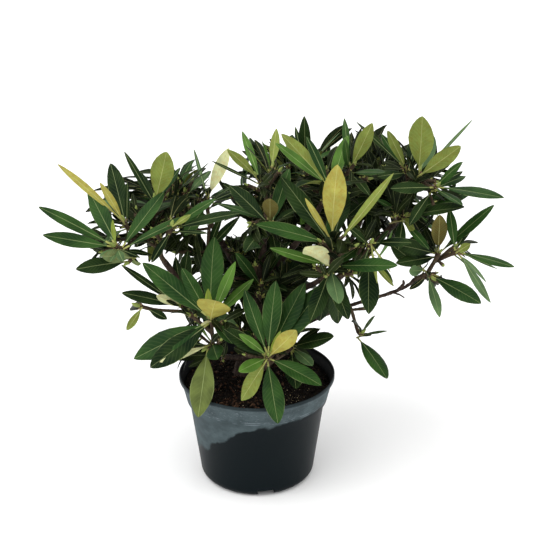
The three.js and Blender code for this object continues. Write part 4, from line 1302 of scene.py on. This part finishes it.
BUD = {"ridges": 5, "ridge": 0.1, "slant": 7, "taper": 0.45, "pointed": 1.5,
       "size": (0.8, 1.2), "finer": 0.7, "sunk": 1.5, "radius": 3.1, "length": 13}
BUD_SCALE = {"count": 7, "upwards": 0.75, "foot": (2.0, 3.5), "radius": 0.9, "length": (5, 9)}


def bud_shape(round_steps, long_steps):
    """A pointed bud along +Z on its foot, its scales as low ridges, as points and faces."""
    bud = bmesh.new()
    bmesh.ops.create_uvsphere(bud, u_segments=round_steps, v_segments=long_steps, radius=1.0)
    for vert in bud.verts:
        height = (vert.co.z + 1) / 2
        turn = math.atan2(vert.co.y, vert.co.x)
        ridge = 1 + BUD["ridge"] * math.sin(BUD["ridges"] * turn + height * BUD["slant"])
        taper = (1 - BUD["taper"] * height ** BUD["pointed"]) * ridge
        vert.co = Vector((vert.co.x * taper, vert.co.y * taper, height))
    return shape_of(bud)


def joined_copies(name, shape, places, materials):
    """One mesh of a shape's copies. Each place is a centre, three axes and a slot."""
    points, faces = shape
    every_point, every_face, slots = [], [], []
    for number, (centre, axes, slot) in enumerate(places):
        every_point.append(np.array(centre) + points @ np.array(axes))
        every_face += [[corner + number * len(points) for corner in face] for face in faces]
        slots += [slot] * len(faces)
    return add_piece(name, mesh_from(name, np.vstack(every_point), every_face, slots), materials)


def axes_along(axis, wide, long, turn=0.0):
    """Three axes for a copy that points along the axis, turned round it."""
    side = aside(axis, turn)
    return wide * side, wide * np.cross(axis, side), long * axis


bud_green = rib_finish("bud_green", (0.24, 0.30, 0.075))
bud_gold = rib_finish("bud_gold", (0.50, 0.36, 0.07))
bud_places, scale_places = [], []
for number, shoot in enumerate(main_shoots + finer_shoots):
    random = seeded(SEEDS["bud"] + number)
    size = mix(*BUD["size"], random()) * (1.0 if number < len(main_shoots) else BUD["finer"])
    axes = axes_along(shoot.axis, BUD["radius"] * size, BUD["length"] * size, random() * 6)
    bud_places.append((shoot.hub - shoot.axis * BUD["sunk"], axes, int(number == GOLDEN_BUD)))
    for index in range(BUD_SCALE["count"]):
        out = unit(shoot.axis * BUD_SCALE["upwards"]
                   + aside(shoot.axis, GOLDEN_ANGLE * index + random()))
        foot = shoot.hub - shoot.axis * mix(*BUD_SCALE["foot"], random())
        long = mix(*BUD_SCALE["length"], random()) * size
        scale_places.append((foot, axes_along(out, BUD_SCALE["radius"] * size, long), 0))
buds = joined_copies("buds", bud_shape(8, 6), bud_places, (bud_green, bud_gold))
scales = joined_copies("bud_scales", bud_shape(5, 4), scale_places, (SCALE,))

# ---- trunk and boughs ----------------------------------------------------------------------

RELIEF = {"broad": 0.55, "broad_size": 5.0, "fine": 0.3, "fine_size": 1.7, "stretch": 0.3}
# How many stretches a limb is drawn in, how far the trunk goes down into the compost and
# widens there, the collar where a bough springs and its length, and a snag's tip against its
# foot. Then how finely the limbs are fused, and how their forks are smoothed.
WOOD = {"steps": 40, "sunk": 9, "sunk_width": 1.06, "collar": 1.6, "collar_length": 14,
        "snag_tip": 0.75, "voxel": 1.15, "smoothing": 0.5, "rounds": 5}
# Where a bough has sagged, the points that it bends towards, and how slim one has stayed.
SAGGED = {
    "bough_far_right": ((177, -14, 295), (216, -24, 305)),
    "bough_left": ((-86, 2, 266),),
}
SLIMMER = {"bough_far_right": 0.74}
# Stubs of dead twigs: points along each and its radius.
SNAGS = (
    (((201, -21, 305), (209, -30, 319), (208, -32, 326)), 2.6),
    (((193, -19, 301), (203, -30, 303), (211, -34, 299)), 1.7),
    (((157, -13, 285), (157, -24, 295), (159, -28, 289)), 1.4),
    (((-60, -5, 288), (-66, -14, 300)), 2.2),
)


def limb_ways():
    """The limbs and snags as they are drawn, for the tubes."""
    found = []
    for name, (curve, radius_at) in limbs.items():
        curve = np.array([curve[0], *SAGGED.get(name, curve[1:2]), curve[2]], float)
        shares = np.arange(WOOD["steps"] + 1) / WOOD["steps"]
        points = [along(curve, share) for share in shares]
        radii = [radius_at(share) * SLIMMER.get(name, 1) for share in shares]
        if name == "trunk":
            points.insert(0, points[0] - UP * WOOD["sunk"])
            radii.insert(0, radii[0] * WOOD["sunk_width"])
        else:
            radii = np.array(radii) + WOOD["collar"] * np.exp(
                -(shares * length_of(curve) / WOOD["collar_length"]) ** 2)
        found.append((points, radii, 0))
    for points, radius in SNAGS:
        radii = np.linspace(radius, radius * WOOD["snag_tip"], len(points))
        found.append((np.array(points, float), radii, 0))
    return found


def wooden_frame():
    """Trunk and boughs grown together at the forks, with furrowed bark."""
    rough = placed("rough_wood", tubes("wood", limb_ways(), (), 3))
    fused = rough.modifiers.new("fused", "REMESH")
    fused.mode, fused.voxel_size = "VOXEL", WOOD["voxel"] * MM
    smooth = rough.modifiers.new("smooth", "SMOOTH")
    smooth.factor, smooth.iterations = WOOD["smoothing"], WOOD["rounds"]
    made = as_drawn(rough)
    made.name = "trunk_and_boughs"
    steps = [(curve, step / WOOD["steps"]) for curve, _ in limbs.values()
             for step in range(WOOD["steps"] + 1)]
    nearest = kdtree.KDTree(len(steps))
    for index, step in enumerate(steps):
        nearest.insert(Vector(along(*step)), index)
    nearest.balance()
    headings = [Vector(heading_of(*step)) for step in steps]
    normals = [vert.normal.copy() for vert in made.vertices]
    for vert, normal in zip(made.vertices, normals):
        place = vert.co / MM
        heading = headings[nearest.find(place)[1]]
        drawn = place - heading * place.dot(heading) * (1 - RELIEF["stretch"])
        rise = (RELIEF["broad"] * noise.fractal(drawn / RELIEF["broad_size"], 1.0, 2.0, 3)
                + RELIEF["fine"] * noise.noise(drawn / RELIEF["fine_size"]))
        vert.co += normal * rise * MM
    smoothen(made)
    return add_piece("trunk_and_boughs", made, (BARK,))


wooden = wooden_frame()

# ---- compost -------------------------------------------------------------------------------


def spun(name, profile, segments):
    """A closed shape turned from a profile of radii and heights, the ends on the axis."""
    turned = bmesh.new()
    verts = [turned.verts.new((radius * MM, 0, height * MM)) for radius, height in profile]
    edges = [turned.edges.new(pair) for pair in zip(verts, verts[1:])]
    bmesh.ops.spin(turned, geom=verts + edges, cent=(0, 0, 0), axis=(0, 0, 1), dvec=(0, 0, 0),
                   angle=2 * math.pi, steps=segments, use_merge=True, use_duplicate=False)
    bmesh.ops.remove_doubles(turned, verts=turned.verts, dist=1e-6)
    bmesh.ops.recalc_face_normals(turned, faces=turned.faces)
    return mesh_of(turned, name)


def wall_line(inset):
    return [
        (POT["neck_radius"] - inset, POT["neck_height"]),
        (POT["shoulder_radius"] - inset, POT["shoulder_height"]),
        (POT["collar_radius"] - inset, POT["collar_height"]),
        (POT["rim_radius"] - POT["lip_taper"] - inset,
         POT["height"] - POT["lip_height"] - POT["lip_taper"]),
    ]


def foot_arc(radius, steps):
    centre = POT["foot_radius"] - POT["foot_rounding"]
    turns = [math.pi / 2 * step / steps for step in range(steps + 1)]
    return [(centre + radius * math.sin(turn), POT["foot_rounding"] - radius * math.cos(turn))
            for turn in turns]


def compost_finish(name, colours, rough=0.95):
    finish = Finish(name, colours[0], rough, 0.1)
    base = finish.mottled(*colours, scale=140, detail=6, low=0.38, high=0.64)
    finish.set(finish.shader, {"Base Color": base})
    finish.bump(finish.noise(500, 6, rough=0.7), 0.9, 2)
    return finish.material


# The filling's foot as radii and heights, the rings of its top and how many of them rise
# from the edge, its segments, how deep under the edge the top counts as such, the breadth
# over which lumps set in, how far the top sinks, and the lumps: their height, size and
# roughness.
COMPOST = {"foot": ((0, 16), (70, 16), (86, 26)), "rings": 44, "rising": 6, "segments": 180,
           "top_depth": 0.5, "lumps_from": 6, "sunk": 0.3,
           "lumps": ((1.5, 16, 1.0), (1.7, 4.5, 0.9))}


def compost():
    """The filling: its wall inside the pot's, and a lumpy top."""
    edge_height = SOIL["height"] - SOIL["edge_drop"]
    wall = wall_line(POT["wall"] + CLEARANCE)
    (low, low_height), (high, high_height) = wall[-2:]
    edge = mix(low, high, (edge_height - low_height) / (high_height - low_height))
    top = [(edge * (1 - ring / COMPOST["rings"]),
            edge_height + min(ring / COMPOST["rising"], 1) * SOIL["edge_drop"])
           for ring in range(COMPOST["rings"] + 1)]
    mesh = spun("compost", [*COMPOST["foot"], *wall[:-1], *top], COMPOST["segments"])
    for vert in mesh.vertices:
        place = vert.co / MM
        if place.z > edge_height - COMPOST["top_depth"]:
            free = min((edge - math.hypot(place.x, place.y)) / COMPOST["lumps_from"], 1)
            lumps = sum(tall * noise.fractal(place / apart, rough, 2.0, 3)
                        for tall, apart, rough in COMPOST["lumps"])
            vert.co.z += (lumps * free - COMPOST["sunk"]) * MM
    smoothen(mesh)
    return add_piece("compost", mesh, (DARK_COMPOST,))


DARK_COMPOST = compost_finish("dark_compost", ((0.006, 0.0048, 0.004), (0.016, 0.0105, 0.0075)))
PEAT, BARK_BIT, GRIT, WET = range(4)
CRUMBS = (
    compost_finish("peat_crumb", ((0.009, 0.007, 0.006), (0.020, 0.014, 0.010))),
    compost_finish("bark_crumb", ((0.045, 0.021, 0.012), (0.095, 0.05, 0.03)), 0.8),
    compost_finish("pale_crumb", ((0.42, 0.30, 0.15), (0.55, 0.47, 0.30)), 0.75),
    compost_finish("wet_crumb", ((0.012, 0.009, 0.008), (0.02, 0.015, 0.012)), 0.35),
)
CRUMB_SIZES = (1.9, 2.6, 0.8, 1.7)
CRUMB_COUNT = 2600
CRUMBS_WITHIN, CRUMBS_LOW_FROM = 103, 92  # radii, the second where the compost's edge drops
# Where grit and bark lie thicker: the middle and the breadth of each heap, as x and y.
GRIT_HEAP, BARK_HEAP = ((62, -62), (26, 30)), ((-30, -72), (30, 26))


def crumb_shape():
    """An uneven crumb about 2 across, as points and faces."""
    crumb = bmesh.new()
    bmesh.ops.create_icosphere(crumb, subdivisions=1, radius=1.0)
    for vert in crumb.verts:
        vert.co *= 0.8 + 0.55 * noise.noise(vert.co * 1.7)
    return shape_of(crumb)


def heaped(x, y, heap):
    """How thick a heap lies at a place, from 0 to 1."""
    (middle_x, middle_y), (broad_x, broad_y) = heap
    return math.exp(-((x - middle_x) / broad_x) ** 2 - ((y - middle_y) / broad_y) ** 2)


def crumb_places():
    """Crumbs scattered over the compost: mostly peat, with bark, grit and wet lumps."""
    random = seeded(SEEDS["crumbs"])
    places = []
    for _ in range(CRUMB_COUNT):
        radius, turn = CRUMBS_WITHIN * math.sqrt(random()), 2 * math.pi * random()
        x, y = radius * math.cos(turn), radius * math.sin(turn)
        grit, bark = heaped(x, y, GRIT_HEAP), heaped(x, y, BARK_HEAP)
        limits = ((GRIT, 0.015 + 0.5 * grit), (BARK_BIT, 0.1 + 0.25 * grit + 0.3 * bark),
                  (WET, 0.3), (PEAT, 1))
        draw = random()
        slot = next(kind for kind, limit in limits if draw < limit)
        size = CRUMB_SIZES[slot] * mix(0.5, 1.35, random())
        axis = unit(np.array([random() - 0.5 for _ in range(3)]))
        flat = mix(0.35, 0.8, random()) if slot != GRIT else 0.9
        axes = np.array(axes_along(axis, size, size * flat, 6 * random()))
        if slot == BARK_BIT:
            axes[0] *= mix(1.2, 2.6, random())
        drop = SOIL["edge_drop"] if radius > CRUMBS_LOW_FROM else 0
        places.append(((x, y, SOIL["height"] - drop + mix(0, 1.6, random())), axes, slot))
    return places


soil = compost()
crumbs = joined_copies("compost_crumbs", crumb_shape(), crumb_places(), CRUMBS)

# ---- pot -----------------------------------------------------------------------------------


# The pale film on the pot, partly dust and partly painted reflection and shade, in metres: the
# height where it begins, how far that line wavers and how soft it is, how it falls away to the left
# and from where, and how high the rubbed lip is.
DUST_AND_REFLECTION = {"height": 0.132, "waver": 0.006, "soft": (-0.0025, 0.0035), "fall": -4.5,
        "fall_from": 0.045, "lip": 0.006}
COLLAR = (0.133, 0.137)  # where the scuffs set in, in metres
EDGE_LINES = (0.1335, 0.1365)  # the heights of two worn, pale edges where the collar begins
EDGE_WIDTHS = (0.0004, 0.0009)  # of their middle, and with their fading sides
# The dark plastic, and the pale film over it, partly dust and partly painted reflection.
POT_DARK, POT_DUST_AND_REFLECTION = (0.0035, 0.0065, 0.008), (0.066, 0.090, 0.097)
POT_SCUFFED = (0.19, 0.225, 0.25)
INSIDE_DARK, INSIDE_DUSTY = (0.004, 0.005, 0.0055), (0.014, 0.013, 0.012)


def dust_and_reflection_over(finish, place):
    """Where the pale film of dust and painted reflection lies: above a wavering line, in patches,
    and less on the rubbed lip.
    """
    side = finish.math("MINIMUM", finish.less(place.outputs[0], DUST_AND_REFLECTION["fall_from"]), 0.0)
    line = finish.times(finish.times(side, side), DUST_AND_REFLECTION["fall"])
    above = finish.less(finish.less(place.outputs[2], DUST_AND_REFLECTION["height"]), line)
    waver = finish.ramp(finish.noise(28, 4), 0.25, 0.75, (-DUST_AND_REFLECTION["waver"], DUST_AND_REFLECTION["waver"]))
    dusty_reflection = finish.ramp(finish.math("ADD", above, waver), *DUST_AND_REFLECTION["soft"])
    mottle = finish.ramp(finish.noise(34, 6, (1, 1, 1.6), rough=0.65), 0.3, 0.7, (0.55, 1.08))
    return finish.times(dusty_reflection, mottle)


def pot_finish():
    """Dark moulded plastic under a pale film, partly dust and partly painted reflection and shade,
    scuffed on its collar.
    """
    finish = Finish("pot_plastic", POT_DARK, 0.42, 0.05)
    place = finish.node("ShaderNodeSeparateXYZ", {"Vector": finish.place()})
    lip_from = POT["height"] * MM - DUST_AND_REFLECTION["lip"]
    lip = finish.ramp(place.outputs[2], lip_from, lip_from + DUST_AND_REFLECTION["lip"] / 2)
    dusty_reflection = finish.times(dust_and_reflection_over(finish, place), finish.ramp(lip, 0, 1, (1.0, 0.3)))
    collar = finish.ramp(place.outputs[2], *COLLAR)
    streaks = finish.ramp(finish.noise(38, 8, (1, 1, 9), rough=0.72), 0.55, 0.78)
    flecks = finish.ramp(finish.noise(210, 5, (1, 1, 3), rough=0.7), 0.56, 0.68)
    worn = finish.times(finish.math("MAXIMUM", streaks, flecks), collar)
    scuffs = finish.times(worn, finish.ramp(lip, 0, 1, (0.5, 0.1)))
    for height in EDGE_LINES:
        line = finish.ramp(finish.off(place.outputs[2], height), *EDGE_WIDTHS, (0.55, 0.0))
        patches = finish.ramp(finish.noise(60, 4), 0.42, 0.6)
        scuffs = finish.math("MAXIMUM", scuffs, finish.times(line, patches))
    # The pale film of dust and painted reflection goes over the dark plastic, and the scuffs over
    # both.
    base = finish.mixed(scuffs, finish.mixed(dusty_reflection, POT_DARK, POT_DUST_AND_REFLECTION), POT_SCUFFED)
    rough = finish.ramp(dusty_reflection, 0, 1, (0.38, 0.62))
    finish.set(finish.shader, {"Base Color": base, "Roughness": rough})
    relief = finish.math("ADD", finish.times(scuffs, 0.4), finish.times(finish.noise(900, 3), 0.2))
    finish.bump(relief, 0.2, 0.3)
    return finish.material


def inner_finish():
    finish = Finish("pot_inside", INSIDE_DARK, 0.5, 0.1)
    base = finish.mottled(INSIDE_DARK, INSIDE_DUSTY, scale=120, detail=5, low=0.5, high=0.75)
    finish.set(finish.shader, {"Base Color": base})
    finish.bump(finish.noise(600, 4), 0.2, 0.4)
    return finish.material


def cut_boxes(grown):
    """The drain notches' boxes in one mesh, larger by `grown`."""
    boxes = bmesh.new()
    for index in range(NOTCH["count"]):
        made = bmesh.ops.create_cube(boxes, size=1.0)["verts"]
        bmesh.ops.scale(boxes, verts=made, vec=(
            (NOTCH["width"] + 2 * grown) * MM, (NOTCH["depth"] + 2 * grown) * MM,
            2 * (NOTCH["height"] + grown) * MM))
        bmesh.ops.translate(boxes, verts=made, vec=(0, -POT["foot_radius"] * MM, 0))
        turn = math.radians(NOTCH["turn"] + 360 * index / NOTCH["count"])
        bmesh.ops.rotate(boxes, verts=made, cent=(0, 0, 0), matrix=Matrix.Rotation(turn, 3, "Z"))
    return mesh_of(boxes, "notches")


def without(mesh, cut):
    """The mesh with the cut's volume taken out."""
    whole, cutter = placed("whole", mesh), placed("cutter", cut)
    taken = whole.modifiers.new("taken", "BOOLEAN")
    taken.operation, taken.solver, taken.object = "DIFFERENCE", "EXACT", cutter
    result = as_drawn(whole)
    bpy.data.objects.remove(cutter)
    return result


# The pot's faces: the angle up to which they are smoothed together, how upright the normal
# of its floor inside is, and the height in metres that this floor lies under.
POT_SMOOTH = {"up_to": 32, "level": 0.9, "floor_below": 0.05}
POT_SEGMENTS = 160


def pot_piece():
    """The pot, with a rounded lip, a collar, and recessed drain notches round its foot."""
    rim, height, lip = POT["rim_radius"], POT["height"], POT["lip_height"]
    wall = POT["wall"]
    outer = [(0, 0), *foot_arc(POT["foot_rounding"], 8), *wall_line(0)]
    outer += [(rim - 0.5, height - lip - 0.4), (rim, height - lip + 0.5), (rim, height - 1.0),
              (rim - 0.35, height - 0.3), (rim - 1.0, height), (0, height)]
    inner = [(0, wall), *foot_arc(POT["foot_rounding"] - wall, 6), *wall_line(wall)]
    inner += [(rim - wall - 0.4, height - lip), (rim - wall, height - lip + 1),
              (rim - wall, height - 0.6), (rim - wall + 0.5, height + 0.2),
              (rim - wall + 0.5, height + 1), (0, height + 1)]
    outside = without(spun("outside", outer, POT_SEGMENTS), cut_boxes(0))
    inside = without(spun("inside", inner, POT_SEGMENTS), cut_boxes(wall))
    mesh = without(outside, inside)
    mesh.name = "pot_shell"
    cleaned = bmesh.new()
    cleaned.from_mesh(mesh)
    bmesh.ops.remove_doubles(cleaned, verts=cleaned.verts, dist=2e-6)
    for face in cleaned.faces:
        face.smooth = True
        middle = face.calc_center_median()
        outwards = Vector((middle.x, middle.y, 0))
        is_wall = face.normal.dot(outwards) < 0 and middle.z > POT["foot_rounding"] * MM
        is_floor = face.normal.z > POT_SMOOTH["level"] and middle.z < POT_SMOOTH["floor_below"]
        face.material_index = int(is_wall or is_floor)
    for edge in cleaned.edges:
        is_joint = len(edge.link_faces) == 2
        edge.smooth = is_joint and edge.calc_face_angle() < math.radians(POT_SMOOTH["up_to"])
    cleaned.to_mesh(mesh)
    cleaned.free()
    return add_piece("pot_shell", mesh, (pot_finish(), inner_finish()))


pot = pot_piece()

# ---- what each piece rides on and stands for -----------------------------------------------

for piece in [*foliage, twigs, buds, scales, wooden, soil, crumbs, pot]:
    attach(piece, "root")
for piece in foliage:
    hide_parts(*bough_of)
for piece in (twigs, buds, scales):
    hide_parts(*bough_of)
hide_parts("trunk", *BOUGHS)
for piece in (soil, crumbs):
    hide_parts("soil")
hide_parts("pot")

# ---- floor, light and camera ---------------------------------------------------------------

FLOOR_HALF = 9.0
CAMERA = {"sensor": 36, "lens": 88.93, "down": 23.36}
SUN = {"strength": 1.3, "across": 50, "from": (-0.35, -0.4, 1)}
STRIPS = {"left_strip": -1.6, "right_strip": 1.6}  # how far out each stands
STRIP = {"at": (-0.5, 0.7), "target": (0, 0, 0.15), "size": (0.5, 1.6), "power": 4}
SKY = 1.12

ground = bmesh.new()
bmesh.ops.create_grid(ground, x_segments=8, y_segments=8, size=FLOOR_HALF)
floor_finish = Finish("floor_paper", (0.93, 0.93, 0.93), 0.95, 0.1)
add_piece("floor", mesh_of(ground, "floor"), (floor_finish.material,))

sun = bpy.data.lights.new("overhead", "SUN")
sun.energy, sun.angle = SUN["strength"], math.radians(SUN["across"])
placed("overhead", sun).rotation_euler = Vector(SUN["from"]).to_track_quat("Z", "Y").to_euler()
for name, aside_by in STRIPS.items():
    lamp = bpy.data.lights.new(name, "AREA")
    lamp.shape, lamp.energy = "RECTANGLE", STRIP["power"]
    lamp.size, lamp.size_y = STRIP["size"]
    strip = placed(name, lamp)
    strip.location = (aside_by, *STRIP["at"])
    aim = Vector(STRIP["target"]) - Vector(strip.location)
    strip.rotation_euler = aim.to_track_quat("-Z", "Y").to_euler()

world = bpy.data.worlds.new("studio")
world.use_nodes = True
backdrop = world.node_tree.nodes["Background"]
backdrop.inputs["Color"].default_value = (1, 1, 1, 1)
backdrop.inputs["Strength"].default_value = SKY
bpy.context.scene.world = world
bpy.context.scene.view_settings.view_transform = "Standard"

lens = bpy.data.cameras.new("camera")
lens.sensor_width, lens.lens = CAMERA["sensor"], CAMERA["lens"]
camera = placed("camera", lens)
camera.location = tuple(EYE * MM)
camera.rotation_euler = (math.radians(90 - CAMERA["down"]), 0, 0)
bpy.context.scene.camera = camera
